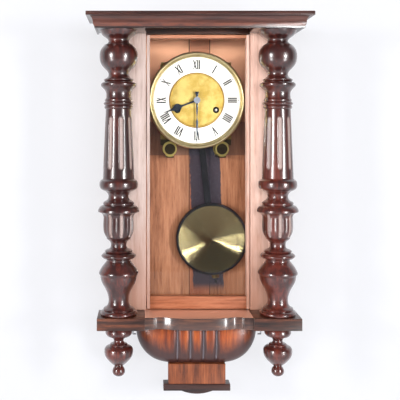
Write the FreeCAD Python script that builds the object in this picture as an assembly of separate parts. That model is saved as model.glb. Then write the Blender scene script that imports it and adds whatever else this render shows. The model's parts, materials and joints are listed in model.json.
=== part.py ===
"""A small spring-driven wall regulator clock with turned columns.

Millimetres. X points right, Z up and the front faces -Y. The wall is the plane y = 0 and the origin is the
middle of the hole in the steel hanger plate, high on the back.
"""
import FreeCAD
import Part
import math
import os

from FreeCAD import Vector

os.makedirs("parts", exist_ok=True)

# Case, measured from the wall and from the hanger
head_height = 49.0
case_half_width = 138.0
side_thickness = 14.0
back_thickness = 12.0
roof_thickness = 12.0
inner_depth = 102.0
inner_middle_x = 3.0
plank_seam_left_x = -5.5
plank_seam_right_x = 35.0
clearance = 0.3

# Face frame and door
frame_thickness = 20.0
opening_half_width = 94.5
face_head_height = 16.0
door_gap = 1.4
door_thickness = 16.0
door_setback = 2.0
door_stile_width = 5.5
door_top_rail_height = 6.0
door_bottom_rail_height = 22.5
glass_thickness = 2.5
glass_fit = 0.2
rebate_depth = 2.5
pivot_radius = 1.5
pivot_fit = 0.05
pivot_reach = 8.0
pivot_inset = 3.0
pivot_setback = 3.2

# Base blocks, serpentine board and columns
block_width = 83.0
block_height = 21.0
block_outer_x = 177.0
column_x = 140.0
column_axis_depth = 31.0
column_radius = 36.1
column_gap = 0.3
frame_front_depth = 68.0
tenon_radius = 7.0
tenon_length = 12.0
flute_count = 8
flute_radius = 6.0
flute_sink = 1.9
left_column_turn = 12.0
petal_count = 8
petal_groove_radius = 3.3
serpentine_bow = 7.0
serpentine_setback = 9.0

# Cornice
cornice_side_lip = 7.0
cornice_front_lip = 8.0
cornice_depth = 84.0
cornice_board_thickness = 7.0
cornice_height = 20.0
cornice_fillet_reach = 4.0
cornice_fillet_height = 3.6
cornice_top_reach = 11.0

# Finials, apron and pendant under the base
finial_height = 87.5
finial_radius = 25.3
finial_tenon_radius = 5.0
finial_tenon_length = 7.0
apron_half_width = 109.5
apron_foot_half_width = 54.8
apron_height = 75.0
apron_skirt = 14.0
apron_depth = 30.0
apron_front_depth = 52.0
groove_pitch = 23.4
groove_radius = 4.0
groove_sink = 5.5
apron_bulge = 4.0
pendant_half_width = 51.6
pendant_height = 36.0
pendant_front_depth = 61.0
pendant_depth = 18.0
platform_half_width = 60.2
platform_height = 12.1
platform_front_depth = 60.0
platform_depth = 26.0
drop_half_width = 27.6
drop_height = 5.3
hook_wire_radius = 1.2
hook_reach = 5.5
hook_drop = 21.0
hook_depth = 62.0

# Hanger
hanger_half_width = 30.0
hanger_half_height = 14.0
hanger_thickness = 2.0
hanger_hole_radius = 4.0
nail_room_radius = 4.8
hanger_screw_radius = 2.0
hanger_screw_x = 22.0

# Dial and hands
dial_drop = 85.5
dial_radius = 81.0
dial_front_y = -98.0
dial_thickness = 1.5
dial_centre_radius = 51.5
dial_rim_height = 1.0
dial_rim_width = 3.0
bezel_radius = 90.3
bezel_depth = 10.0
bezel_slope = 4.0
winding_x = 36.0
winding_drop = 18.0
winding_hole_radius = 6.0
dial_foot_radius = 2.0
dial_foot_circle = 60.0
hour_hand_length = 66.5
minute_hand_length = 79.5
hand_thickness = 0.8
hour_hand_angle = 249.0
minute_hand_angle = 180.0
hour_hand_gap = 3.0
minute_hand_gap = 5.6
hand_hub_radius = 6.0

# Movement
plate_half_width = 66.0
plate_top = 72.0
plate_foot = 84.0
plate_thickness = 3.0
plate_lobe_x = 49.0
plate_lobe_drop = 91.0
plate_lobe_radius = 13.0
front_plate_y = -80.0
plate_spacing = 40.0
pillar_radius = 4.0
pillar_x = 57.0
arbor_radius = 1.6
running_fit = 0.06
bracket_width = 14.0
bracket_thickness = 5.0
bracket_foot_height = 34.0
barrel_radius = 25.0
barrel_gear_radius = 29.0
strike_gear_radius = 27.0
barrel_depth = 19.0
barrel_setback = 17.0
barrel_hub_radius = 15.0
gear_setback = 3.0
barrel_gear_width = 4.0
centre_pinion_radius = 10.9
centre_wheel_radius = 22.0
third_pinion_radius = 4.0
third_wheel_radius = 18.0
escape_pinion_radius = 3.4
escape_wheel_radius = 15.0
wheel_width = 2.0
wheel_gap = 0.3
third_x = -14.0
third_rise = 22.3
escape_rise = 38.9
pivot_rise = 62.0
cannon_radius = 5.0
minute_wheel_radius = 14.7
minute_pinion_radius = 4.0
hour_wheel_radius = 15.7
minute_wheel_x = 14.142
hour_pipe_radius = 4.2
cannon_pipe_radius = 2.4
winding_arbor_radius = 3.0
winding_square = 2.0
winding_square_reach = 1.5
ratchet_radius = 7.0
ratchet_width = 2.0
tooth_depth = 0.8
escape_tooth = 2.4
pallet_clearance = 2.3
centre_wheel_setback = 6.0
third_wheel_setback = 10.0
escape_wheel_setback = 7.0
cannon_setback = 3.0
motion_gap = 3.0
motion_depth = 11.0
collet_thickness = 3.0
cock_height = 13.0
cock_reach = 6.0
cock_wall = 2.0
bell_stand = 16.0
bell_post_radius = 2.0
crutch_collet = 4.0
crutch_arm_gap = 0.7
crutch_arm_thickness = 2.0

# Pendulum
pendulum_length = 331.0
bob_floor_room = 41.7
pendulum_rest_angle = 6.0
pendulum_y = -23.0
rod_half_width = 6.0
rod_half_thickness = 2.5
bob_radius = 70.3
bob_face_radius = 65.0
bob_thickness = 17.0
bob_face_crown = 3.0
bob_rim_round = 4.0
suspension_pin_radius = 1.5
suspension_block_half_width = 5.0
spring_thickness = 0.3
rod_start = 24.0
crutch_length = 62.0
crutch_half_width = 2.5
crutch_pin_radius = 1.2
crutch_slot_gap = 0.35
rating_screw_radius = 1.8
rating_nut_radius = 7.0
rating_nut_height = 6.0
rating_tail = 16.0

# Strike
bell_x = -30.0
bell_rise = 60.0
bell_radius = 22.0
bell_wall = 1.8
bell_depth = 12.0
hammer_x = -58.0
hammer_rise = 30.0
hammer_head_radius = 4.0
hammer_gap = 2.2

overrun = 1.0

# Outlines as shares, each run of points a smooth curve and a two-point run a straight line.
# Columns: radius share of column_radius, height share of the column from its foot.
column_profile_shares = [
    [(0.80, 0.0), (0.88, 0.004), (0.885, 0.010), (0.80, 0.0165)],
    [(0.80, 0.0165), (0.735, 0.0175)],
    [(0.735, 0.0175), (0.755, 0.0215), (0.72, 0.0255)],
    [(0.72, 0.0255), (0.60, 0.0305), (0.52, 0.040), (0.495, 0.054), (0.54, 0.073), (0.63, 0.089), (0.745, 0.104),
     (0.85, 0.120), (0.895, 0.137)],
    [(0.895, 0.137), (0.905, 0.1395)],
    [(0.905, 0.1395), (0.965, 0.147), (0.93, 0.1555)],
    [(0.93, 0.1555), (0.87, 0.163), (0.80, 0.171), (0.71, 0.179), (0.63, 0.186), (0.59, 0.193), (0.62, 0.197)],
    [(0.62, 0.197), (0.74, 0.199)],
    [(0.74, 0.199), (0.845, 0.2085), (0.72, 0.2175)],
    [(0.72, 0.2175), (0.62, 0.219)],
    [(0.62, 0.219), (0.68, 0.224), (0.58, 0.230)],
    [(0.58, 0.230), (0.42, 0.236), (0.385, 0.247), (0.44, 0.259), (0.53, 0.264)],
    [(0.53, 0.264), (0.62, 0.272), (0.72, 0.290), (0.75, 0.314), (0.735, 0.343)],
    [(0.735, 0.343), (0.80, 0.355), (1.005, 0.363)],
    [(1.005, 0.363), (1.01, 0.3675), (0.96, 0.376), (0.87, 0.383), (0.74, 0.387)],
    [(0.74, 0.387), (0.77, 0.392), (0.72, 0.398)],
    [(0.72, 0.398), (0.54, 0.407), (0.50, 0.417), (0.545, 0.427), (0.66, 0.435), (0.80, 0.4395)],
    [(0.80, 0.4395), (0.90, 0.446), (0.94, 0.459), (0.89, 0.472), (0.80, 0.4765)],
    [(0.80, 0.4765), (0.77, 0.480)],
    [(0.77, 0.480), (0.65, 0.685), (0.63, 0.723)],
    [(0.63, 0.723), (0.67, 0.725)],
    [(0.67, 0.725), (0.70, 0.7305), (0.66, 0.736)],
    [(0.66, 0.736), (0.74, 0.743), (0.66, 0.750)],
    [(0.66, 0.750), (0.68, 0.7555), (0.63, 0.761)],
    [(0.63, 0.761), (0.61, 0.775), (0.64, 0.786), (0.72, 0.794), (0.85, 0.8035)],
    [(0.85, 0.8035), (0.87, 0.811), (0.76, 0.8185)],
    [(0.76, 0.8185), (0.66, 0.820)],
    [(0.66, 0.820), (0.73, 0.826), (0.62, 0.832)],
    [(0.62, 0.832), (0.52, 0.839), (0.50, 0.848), (0.56, 0.857), (0.68, 0.866)],
    [(0.68, 0.866), (0.84, 0.880), (0.935, 0.907), (0.87, 0.933), (0.68, 0.950)],
    [(0.68, 0.950), (0.53, 0.957), (0.50, 0.963), (0.56, 0.971), (0.78, 0.983), (0.91, 1.0)],
]
# Flutes and tulip petals: height shares of the column
flute_foot_share = 0.520
flute_head_share = 0.688
flute_foot_reach_share = 0.745
flute_head_reach_share = 0.648
petal_foot_share = 0.278
petal_head_share = 0.350
petal_reach_share = 0.785
# Finials: radius share of finial_radius, drop share of finial_height
finial_profile_shares = [
    [(0.78, 0.0), (0.88, 0.05), (0.92, 0.12), (0.80, 0.175)],
    [(0.80, 0.175), (0.45, 0.22), (0.34, 0.275), (0.42, 0.325)],
    [(0.42, 0.325), (0.62, 0.350), (0.60, 0.372)],
    [(0.60, 0.372), (0.86, 0.394), (0.97, 0.43), (1.0, 0.49), (0.96, 0.565), (0.82, 0.635), (0.60, 0.705),
     (0.38, 0.76), (0.27, 0.785)],
    [(0.27, 0.785), (0.36, 0.82), (0.44, 0.90), (0.32, 0.965), (0.0, 1.0)],
]
# Cornice cove: reach share of cornice_top_reach, height share of cornice_height
cornice_cove_shares = [(0.55, 0.32), (0.60, 0.55), (0.72, 0.80), (1.0, 1.0)]
# Serpentine front: place share of its half width, reach share of serpentine_bow
serpentine_shares = [(0.0, 1.0), (0.22, 0.97), (0.40, 0.70), (0.62, -0.32), (0.72, -0.62), (0.80, -0.42),
                     (0.88, 0.05), (1.0, 0.15)]
# Hour hand outline: place share of its length, half width share of its length
hour_hand_shares = [(0.12, 0.022), (0.36, 0.020), (0.46, 0.060), (0.56, 0.105), (0.68, 0.075), (0.80, 0.022),
                    (1.0, 0.004)]
# Minute hand outline: place share of its length, half width share of its length
minute_hand_shares = [(0.10, 0.018), (0.40, 0.018), (0.52, 0.040), (0.66, 0.022), (1.0, 0.006)]
minute_tail_share = 0.20
minute_tail_width_share = 0.045
apron_notch_share = 0.16
# Crown of the bob's face: place share of its radius, reach share of its crown
bob_crown_place_share = 0.7
bob_crown_reach_share = 0.6
# Flat of the bell's crown: share of its radius
bell_crown_share = 0.7

# Planes and places worked out from the sizes above
dial_z = -dial_drop
pivot_z = dial_z + pivot_rise
base_top_z = pivot_z - pendulum_length - bob_radius - bob_floor_room
base_bottom_z = base_top_z - block_height
case_top_z = head_height + roof_thickness
block_top_z = case_top_z - cornice_board_thickness
cornice_bottom_z = block_top_z - cornice_height
back_front_y = -back_thickness
frame_back_y = back_front_y - inner_depth
frame_front_y = frame_back_y - frame_thickness
block_front_y = frame_front_y - frame_front_depth
column_y = block_front_y + column_axis_depth
block_inner_x = block_outer_x - block_width
opening_left_x = inner_middle_x - opening_half_width
opening_right_x = inner_middle_x + opening_half_width
opening_top_z = head_height - face_head_height
door_left_x = opening_left_x + door_gap
door_right_x = opening_right_x - door_gap
door_front_y = frame_front_y + door_setback
door_back_y = door_front_y + door_thickness
door_foot_z = base_top_z + door_gap
door_top_z = opening_top_z - door_gap
back_plate_y = front_plate_y + plate_spacing + plate_thickness


def box(x0, x1, y0, y1, z0, z1):
    """A block between two corners."""
    return Part.makeBox(x1 - x0, y1 - y0, z1 - z0, Vector(x0, y0, z0))


def rod_y(x, z, radius, y0, y1):
    """A round bar along Y."""
    return Part.makeCylinder(radius, y1 - y0, Vector(x, y0, z), Vector(0, 1, 0))


def rod_z(x, y, radius, z0, z1):
    """A round bar along Z."""
    return Part.makeCylinder(radius, z1 - z0, Vector(x, y, z0), Vector(0, 0, 1))


def fuse(first, *others):
    """One solid out of several that touch or overlap."""
    solid = first
    for other in others:
        solid = solid.fuse(other)
    return solid.removeSplitter()


def curve(points):
    """A straight edge through two points, or a smooth one through more."""
    if len(points) == 2:
        return Part.makeLine(points[0], points[1])
    spline = Part.BSplineCurve()
    spline.interpolate(points)
    return spline.toShape()


def prism(edges, direction):
    """A solid drawn out of a closed flat outline."""
    return Part.Face(Part.Wire(edges)).extrude(direction)


def polygon_prism(points, direction):
    """A solid drawn out of a closed outline of straight sides."""
    return Part.Face(Part.makePolygon(points + [points[0]])).extrude(direction)


def turned(runs, x, y, z, radius, height):
    """A turned piece about a vertical axis from runs of (radius share, height share)."""
    edges = []
    for run in runs:
        edges.append(curve([Vector(r * radius, 0, h * height) for r, h in run]))
    start = edges[0].Vertexes[0].Point
    end = edges[-1].Vertexes[-1].Point
    foot = Vector(0, 0, start.z)
    head = Vector(0, 0, end.z)
    edges.insert(0, Part.makeLine(foot, start))
    if end.x > 0:
        edges.append(Part.makeLine(end, head))
    edges.append(Part.makeLine(head, foot))
    solid = Part.Face(Part.Wire(edges)).revolve(Vector(0, 0, 0), Vector(0, 0, 1), 360)
    solid.translate(Vector(x, y, z))
    return solid


def spun(points, x, z):
    """A round piece about an axis along Y from (radius, y) corners."""
    corners = [Vector(r, y, 0) for r, y in points]
    solid = Part.Face(Part.makePolygon(corners + [corners[0]])).revolve(Vector(0, 0, 0), Vector(0, 1, 0), 360)
    solid.translate(Vector(x, 0, z))
    return solid


def mirrored(solid):
    """The same piece on the other side of the clock."""
    return solid.mirror(Vector(0, 0, 0), Vector(1, 0, 0))


def save(name, *solids):
    """Write one sub-part."""
    shape = solids[0] if len(solids) == 1 else Part.makeCompound(list(solids))
    shape.exportStep("parts/" + name + ".step")


def gear(x, z, radius, tooth, count, y0, y1, bore):
    """A toothed wheel along Y whose tips reach the radius."""
    points = []
    for step in range(count * 4):
        angle = 2 * math.pi * (step - 1.5) / (count * 4)
        reach = radius if step % 4 in (1, 2) else radius - tooth
        points.append(Vector(x + reach * math.sin(angle), y0, z + reach * math.cos(angle)))
    wheel = polygon_prism(points, Vector(0, y1 - y0, 0))
    if bore > 0:
        wheel = wheel.cut(rod_y(x, z, bore, y0 - overrun, y1 + overrun))
    return wheel


def make_back():
    """Three planks of unequal width, set in by the hanger plate on their back, with a hole for the nail."""
    left = -case_half_width + side_thickness
    edges_x = [left, plank_seam_left_x, plank_seam_right_x, -left]
    nail_room = rod_y(0, 0, nail_room_radius, back_front_y - overrun, overrun)
    names = ["back_plank_left", "back_plank_centre", "back_plank_right"]
    for name, x0, x1 in zip(names, edges_x[:-1], edges_x[1:]):
        plank = box(x0, x1, back_front_y, -hanger_thickness, base_top_z, head_height)
        save(name, plank.cut(nail_room))
    plate = box(-hanger_half_width, hanger_half_width, -hanger_thickness, 0,
                -hanger_half_height, hanger_half_height)
    plate = plate.cut(rod_y(0, 0, hanger_hole_radius, -hanger_thickness - overrun, overrun))
    for x in (-hanger_screw_x, hanger_screw_x):
        plate = plate.cut(rod_y(x, 0, hanger_screw_radius, -hanger_thickness - overrun, overrun))
    save("hanger_plate", plate)


def make_case():
    """Sides, floor, roof and the pale frame that surrounds the door."""
    inner = case_half_width - side_thickness
    side = box(inner, case_half_width, frame_back_y, 0, base_top_z, head_height)
    save("side_right", side)
    save("side_left", mirrored(side))
    floor = box(-case_half_width, case_half_width, frame_front_y, 0, base_bottom_z, base_top_z)
    pivot_x = door_right_x - pivot_inset
    pivot_y = door_front_y + pivot_setback
    bore = pivot_radius + pivot_fit
    low_bore = rod_z(pivot_x, pivot_y, bore, base_top_z - pivot_reach, base_top_z + overrun)
    save("case_floor", floor.cut(low_bore))
    save("case_roof", box(-case_half_width, case_half_width, block_front_y + cornice_depth, 0,
                          head_height, case_top_z))
    for name, x0, x1 in (("face_stile_left", -case_half_width, opening_left_x),
                         ("face_stile_right", opening_right_x, case_half_width)):
        save(name, box(x0, x1, frame_front_y, frame_back_y, base_top_z, head_height))
    head = box(opening_left_x, opening_right_x, frame_front_y, frame_back_y, opening_top_z, head_height)
    high_bore = rod_z(pivot_x, pivot_y, bore, opening_top_z - overrun, opening_top_z + pivot_reach)
    save("face_head", head.cut(high_bore))


def make_door():
    """A thin rebated frame round the glass, turning on two pins near its right edge."""
    rail_foot = door_foot_z + door_bottom_rail_height
    rail_head = door_top_z - door_top_rail_height
    glass_front = door_front_y + door_thickness - rebate_depth - glass_thickness
    pocket = box(door_left_x + rebate_depth, door_right_x - rebate_depth, glass_front - glass_fit,
                 glass_front + glass_thickness + glass_fit, rail_foot - rebate_depth, rail_head + rebate_depth)
    inner_left = door_left_x + door_stile_width
    inner_right = door_right_x - door_stile_width
    left = box(door_left_x, inner_left, door_front_y, door_back_y, door_foot_z, door_top_z)
    right = box(inner_right, door_right_x, door_front_y, door_back_y, door_foot_z, door_top_z)
    low = box(inner_left, inner_right, door_front_y, door_back_y, door_foot_z, rail_foot)
    high = box(inner_left, inner_right, door_front_y, door_back_y, rail_head, door_top_z)
    pin_x = door_right_x - pivot_inset
    pin_y = door_front_y + pivot_setback
    low_pin = rod_z(pin_x, pin_y, pivot_radius, base_top_z - pivot_reach + door_gap, door_foot_z + pivot_reach)
    high_pin = rod_z(pin_x, pin_y, pivot_radius, door_top_z - pivot_reach,
                     opening_top_z + pivot_reach - door_gap)
    save("door_stile_left", left.cut(pocket))
    save("door_stile_right", right.cut(pocket).cut(low_pin).cut(high_pin))
    save("door_rail_bottom", low.cut(pocket))
    save("door_rail_top", high.cut(pocket))
    save("door_pivot_pins", low_pin, high_pin)
    fit = glass_fit
    save("door_glass", box(door_left_x + rebate_depth + fit, door_right_x - rebate_depth - fit, glass_front,
                           glass_front + glass_thickness, rail_foot - rebate_depth + fit,
                           rail_head + rebate_depth - fit))


def make_blocks():
    """Four end blocks that carry the columns, with a hole for each column's tenon."""
    hole = tenon_radius + clearance
    low = box(block_inner_x, block_outer_x, block_front_y, frame_front_y, base_bottom_z, base_top_z)
    low_hole = rod_z(column_x, column_y, hole, base_top_z - tenon_length - clearance, base_top_z + overrun)
    high = box(block_inner_x, block_outer_x, block_front_y, frame_front_y, cornice_bottom_z, block_top_z)
    high_hole = rod_z(column_x, column_y, hole, cornice_bottom_z - overrun,
                      cornice_bottom_z + tenon_length + clearance)
    finial_hole = rod_z(column_x, column_y, finial_tenon_radius + clearance, base_bottom_z - overrun,
                        base_bottom_z + finial_tenon_length + clearance)
    low_block = low.cut(low_hole).cut(finial_hole)
    high_block = high.cut(high_hole)
    save("lower_block_right", low_block)
    save("lower_block_left", mirrored(low_block))
    save("upper_block_right", high_block)
    save("upper_block_left", mirrored(high_block))


def make_columns():
    """Turned columns with eight flutes in the shaft and a carved tulip below it."""
    foot = base_top_z + column_gap
    height = cornice_bottom_z - column_gap - foot
    column = turned(column_profile_shares, column_x, column_y, foot, column_radius, height)
    for index in range(flute_count):
        angle = 2 * math.pi * index / flute_count
        z0 = foot + flute_foot_share * height
        z1 = foot + flute_head_share * height
        r0 = column_radius * flute_foot_reach_share
        r1 = column_radius * flute_head_reach_share
        reach0 = r0 + flute_radius - flute_sink
        reach1 = r1 + flute_radius - flute_sink
        low = Vector(column_x + reach0 * math.sin(angle), column_y - reach0 * math.cos(angle), z0)
        high = Vector(column_x + reach1 * math.sin(angle), column_y - reach1 * math.cos(angle), z1)
        column = column.cut(Part.makeCylinder(flute_radius, (high - low).Length, low, high - low))
        column = column.cut(Part.makeSphere(flute_radius, low))
        column = column.cut(Part.makeSphere(flute_radius, high))
    for index in range(petal_count):
        angle = 2 * math.pi * index / petal_count
        reach = column_radius * petal_reach_share
        place = Vector(column_x + reach * math.sin(angle), column_y - reach * math.cos(angle),
                       foot + petal_foot_share * height)
        length = (petal_head_share - petal_foot_share) * height
        column = column.cut(Part.makeCylinder(petal_groove_radius, length, place, Vector(0, 0, 1)))
    low_tenon = rod_z(column_x, column_y, tenon_radius, foot - tenon_length, foot + column_gap)
    high_tenon = rod_z(column_x, column_y, tenon_radius, foot + height - column_gap,
                       foot + height + tenon_length)
    column = fuse(column, low_tenon, high_tenon)
    save("column_right", column)
    other = mirrored(column)
    other.rotate(Vector(-column_x, column_y, 0), Vector(0, 0, 1), left_column_turn)
    save("column_left", other)


def make_cornice():
    """Top board, and a cove moulding mitred round three sides."""
    front = block_front_y - cornice_top_reach - cornice_front_lip
    width = block_outer_x + cornice_top_reach + cornice_side_lip
    back = block_front_y + cornice_depth
    save("cornice_top", box(-width, width, front, back, block_top_z, case_top_z))
    profile = [(0, cornice_bottom_z), (cornice_fillet_reach, cornice_bottom_z),
               (cornice_fillet_reach, cornice_bottom_z + cornice_fillet_height)]
    cove = [(share * cornice_top_reach, cornice_bottom_z + rise * cornice_height)
            for share, rise in cornice_cove_shares]
    half = block_outer_x + cornice_top_reach + overrun

    def moulding(place, way):
        """The cove's section, set out by place, drawn out along way."""
        corners = [place(e, z) for e, z in profile]
        rise = [place(e, z) for e, z in cove]
        edges = [Part.makeLine(corners[0], corners[1]), Part.makeLine(corners[1], corners[2]),
                 Part.makeLine(corners[2], rise[0]), curve(rise),
                 Part.makeLine(rise[-1], place(0, block_top_z)),
                 Part.makeLine(place(0, block_top_z), corners[0])]
        return prism(edges, way)

    reach = cornice_top_reach + overrun
    front_moulding = moulding(lambda e, z: Vector(-half, block_front_y - e, z), Vector(2 * half, 0, 0))
    side_start = block_front_y - reach
    side_moulding = moulding(lambda e, z: Vector(block_outer_x + e, side_start, z),
                             Vector(0, back - side_start, 0))
    corner = Vector(block_outer_x, block_front_y, cornice_bottom_z - overrun)
    rise = Vector(0, 0, cornice_height + 2 * overrun)
    far = 2 * reach
    side_wedge = polygon_prism([corner, corner + Vector(far, -far, 0), corner + Vector(far, 0, 0)], rise)
    front_wedge = polygon_prism([corner, corner + Vector(far, -far, 0), corner + Vector(0, -far, 0)], rise)
    front_moulding = front_moulding.cut(side_wedge).cut(mirrored(side_wedge))
    side_moulding = side_moulding.cut(front_wedge)
    save("cornice_front", front_moulding)
    save("cornice_return_right", side_moulding)
    save("cornice_return_left", mirrored(side_moulding))


def make_serpentine():
    """The board between the lower blocks, with its waved front."""
    front = block_front_y + serpentine_setback
    half = block_inner_x
    points = []
    for share, reach in reversed(serpentine_shares[1:]):
        points.append(Vector(-share * half, front - reach * serpentine_bow, base_bottom_z))
    for share, reach in serpentine_shares:
        points.append(Vector(share * half, front - reach * serpentine_bow, base_bottom_z))
    right = Vector(half, frame_front_y, base_bottom_z)
    left = Vector(-half, frame_front_y, base_bottom_z)
    edges = [curve(points), Part.makeLine(points[-1], right), Part.makeLine(right, left),
             Part.makeLine(left, points[0])]
    save("serpentine_board", prism(edges, Vector(0, 0, block_height)))


def make_under_base():
    """Finials, fluted apron, pendant block, platform and the two wire hooks."""
    finial = turned(finial_profile_shares, column_x, column_y, base_bottom_z, finial_radius, -finial_height)
    tenon = rod_z(column_x, column_y, finial_tenon_radius, base_bottom_z - clearance,
                  base_bottom_z + finial_tenon_length)
    finial = fuse(finial, tenon)
    save("finial_right", finial)
    save("finial_left", mirrored(finial))

    front = block_front_y + apron_front_depth
    back = front + apron_depth
    foot_z = base_bottom_z - apron_height
    shoulder_z = base_bottom_z - apron_skirt
    side = []
    for step in range(5):
        turn = math.pi / 2 * step / 4
        spread = (apron_half_width - apron_foot_half_width) * math.cos(turn)
        side.append(Vector(apron_foot_half_width + spread, front,
                           shoulder_z - (shoulder_z - foot_z) * math.sin(turn)))
    other = [Vector(-point.x, front, point.z) for point in side]
    head = [Vector(-apron_half_width, front, base_bottom_z), Vector(apron_half_width, front, base_bottom_z)]
    apron = prism([Part.makeLine(head[0], head[1]), Part.makeLine(head[1], side[0]), curve(side),
                   Part.makeLine(side[-1], other[-1]), curve(other), Part.makeLine(other[0], head[0])],
                  Vector(0, apron_depth, 0))
    top = [Vector(0, front + apron_bulge / 2, base_bottom_z), Vector(0, front, (base_bottom_z + foot_z) / 2),
           Vector(0, front + apron_bulge, foot_z)]
    far = [Vector(0, back, foot_z), Vector(0, back, base_bottom_z)]
    swell = prism([curve(top), Part.makeLine(top[-1], far[0]), Part.makeLine(far[0], far[1]),
                   Part.makeLine(far[1], top[0])], Vector(2 * apron_half_width, 0, 0))
    swell.translate(Vector(-apron_half_width, 0, 0))
    apron = apron.common(swell)
    for index in range(4):
        x = (index - 1.5) * groove_pitch
        groove = rod_z(x, front - groove_radius + groove_sink, groove_radius, foot_z - overrun,
                       base_bottom_z - apron_notch_share * apron_height)
        apron = apron.cut(groove)
    save("apron", apron)

    pendant_foot = foot_z - pendant_height
    pendant_front = block_front_y + pendant_front_depth
    save("pendant_block", box(-pendant_half_width, pendant_half_width, pendant_front,
                              pendant_front + pendant_depth, pendant_foot, foot_z))
    platform_front = block_front_y + platform_front_depth
    platform = box(-platform_half_width, platform_half_width, platform_front, platform_front + platform_depth,
                   pendant_foot - platform_height, pendant_foot)
    low = pendant_foot - platform_height
    arc = Part.Arc(Vector(-drop_half_width, platform_front, low), Vector(0, platform_front, low - drop_height),
                   Vector(drop_half_width, platform_front, low)).toShape()
    chord = Part.makeLine(Vector(drop_half_width, platform_front, low),
                          Vector(-drop_half_width, platform_front, low))
    drop = prism([arc, chord], Vector(0, platform_depth, 0))
    save("platform", fuse(platform, drop))

    hook_x = apron_half_width + hook_reach
    hook_y = block_front_y + hook_depth
    hook_foot = base_bottom_z - hook_drop
    hook = fuse(rod_z(hook_x, hook_y, hook_wire_radius, hook_foot, base_bottom_z),
                Part.makeSphere(hook_wire_radius, Vector(hook_x, hook_y, hook_foot)),
                Part.makeCylinder(hook_wire_radius, hook_reach, Vector(apron_half_width, hook_y, hook_foot),
                                  Vector(1, 0, 0)))
    save("wire_hooks", hook, mirrored(hook))


def make_dial():
    """White chapter ring on four feet, spun brass centre and brass bezel."""
    x = inner_middle_x
    front = dial_front_y
    inner = dial_centre_radius - dial_rim_width
    back = front + dial_thickness
    ring = spun([(inner, front), (dial_radius, front), (dial_radius, back), (inner, back)], x, dial_z)
    for turn in range(4):
        angle = math.pi / 4 + turn * math.pi / 2
        foot_x = x + dial_foot_circle * math.sin(angle)
        foot_z = dial_z + dial_foot_circle * math.cos(angle)
        ring = ring.fuse(rod_y(foot_x, foot_z, dial_foot_radius, back, front_plate_y))
    save("dial_ring", ring.removeSplitter())
    pipe_room = hour_pipe_radius + dial_thickness
    rim = front - dial_rim_height
    centre = spun([(pipe_room, front), (inner - dial_rim_height, front), (inner, rim),
                   (dial_centre_radius, rim), (dial_centre_radius, front), (inner, front), (inner, back),
                   (pipe_room, back)], x, dial_z)
    for side in (-1, 1):
        centre = centre.cut(rod_y(x + side * winding_x, dial_z - winding_drop, winding_hole_radius,
                                  rim - overrun, back + overrun))
    save("dial_centre", centre)
    lip = dial_radius - dial_rim_height
    crown = front - bezel_depth / 2
    rest = dial_radius + clearance
    save("bezel", spun([(lip, front), (lip, front - dial_thickness),
                        (bezel_radius - bezel_slope, crown - overrun),
                        (bezel_radius, crown + dial_thickness), (bezel_radius, crown + bezel_depth),
                        (rest, crown + bezel_depth), (rest, front)], x, dial_z))


def hand_outline(shares, length, angle, y):
    """A flat hand of the given outline, pointing clockwise by the angle from twelve."""
    turn = math.radians(angle)
    along = Vector(math.sin(turn), 0, math.cos(turn))
    across = Vector(math.cos(turn), 0, -math.sin(turn))
    middle = Vector(inner_middle_x, y, dial_z)
    right = [middle + along * (place * length) + across * (half * length) for place, half in shares]
    left = [middle + along * (place * length) - across * (half * length) for place, half in shares]
    return polygon_prism(right + left[::-1], Vector(0, hand_thickness, 0))


def make_hands():
    """Spade hour hand on the hour pipe and slim minute hand on the centre arbor."""
    x = inner_middle_x
    hour_y = dial_front_y - hour_hand_gap - hand_thickness
    hub = rod_y(x, dial_z, hand_hub_radius, hour_y, hour_y + hand_thickness)
    stem = [(0.0, hour_hand_shares[0][1])] + hour_hand_shares
    blade = hand_outline(stem, hour_hand_length, hour_hand_angle, hour_y)
    hour = fuse(hub, blade).cut(rod_y(x, dial_z, hour_pipe_radius, hour_y - overrun, hour_y + overrun))
    save("hour_hand", hour)
    minute_y = dial_front_y - minute_hand_gap - hand_thickness
    hub = rod_y(x, dial_z, hand_hub_radius, minute_y, minute_y + hand_thickness)
    stem = [(0.0, minute_hand_shares[0][1])] + minute_hand_shares
    blade = hand_outline(stem, minute_hand_length, minute_hand_angle, minute_y)
    tail = hand_outline([(0.0, minute_hand_shares[0][1]), (minute_tail_share, minute_tail_width_share)],
                        minute_hand_length, minute_hand_angle + 180, minute_y)
    minute = fuse(hub, blade, tail)
    bore = rod_y(x, dial_z, cannon_pipe_radius, minute_y - overrun, minute_y + overrun)
    save("minute_hand", minute.cut(bore))


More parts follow.
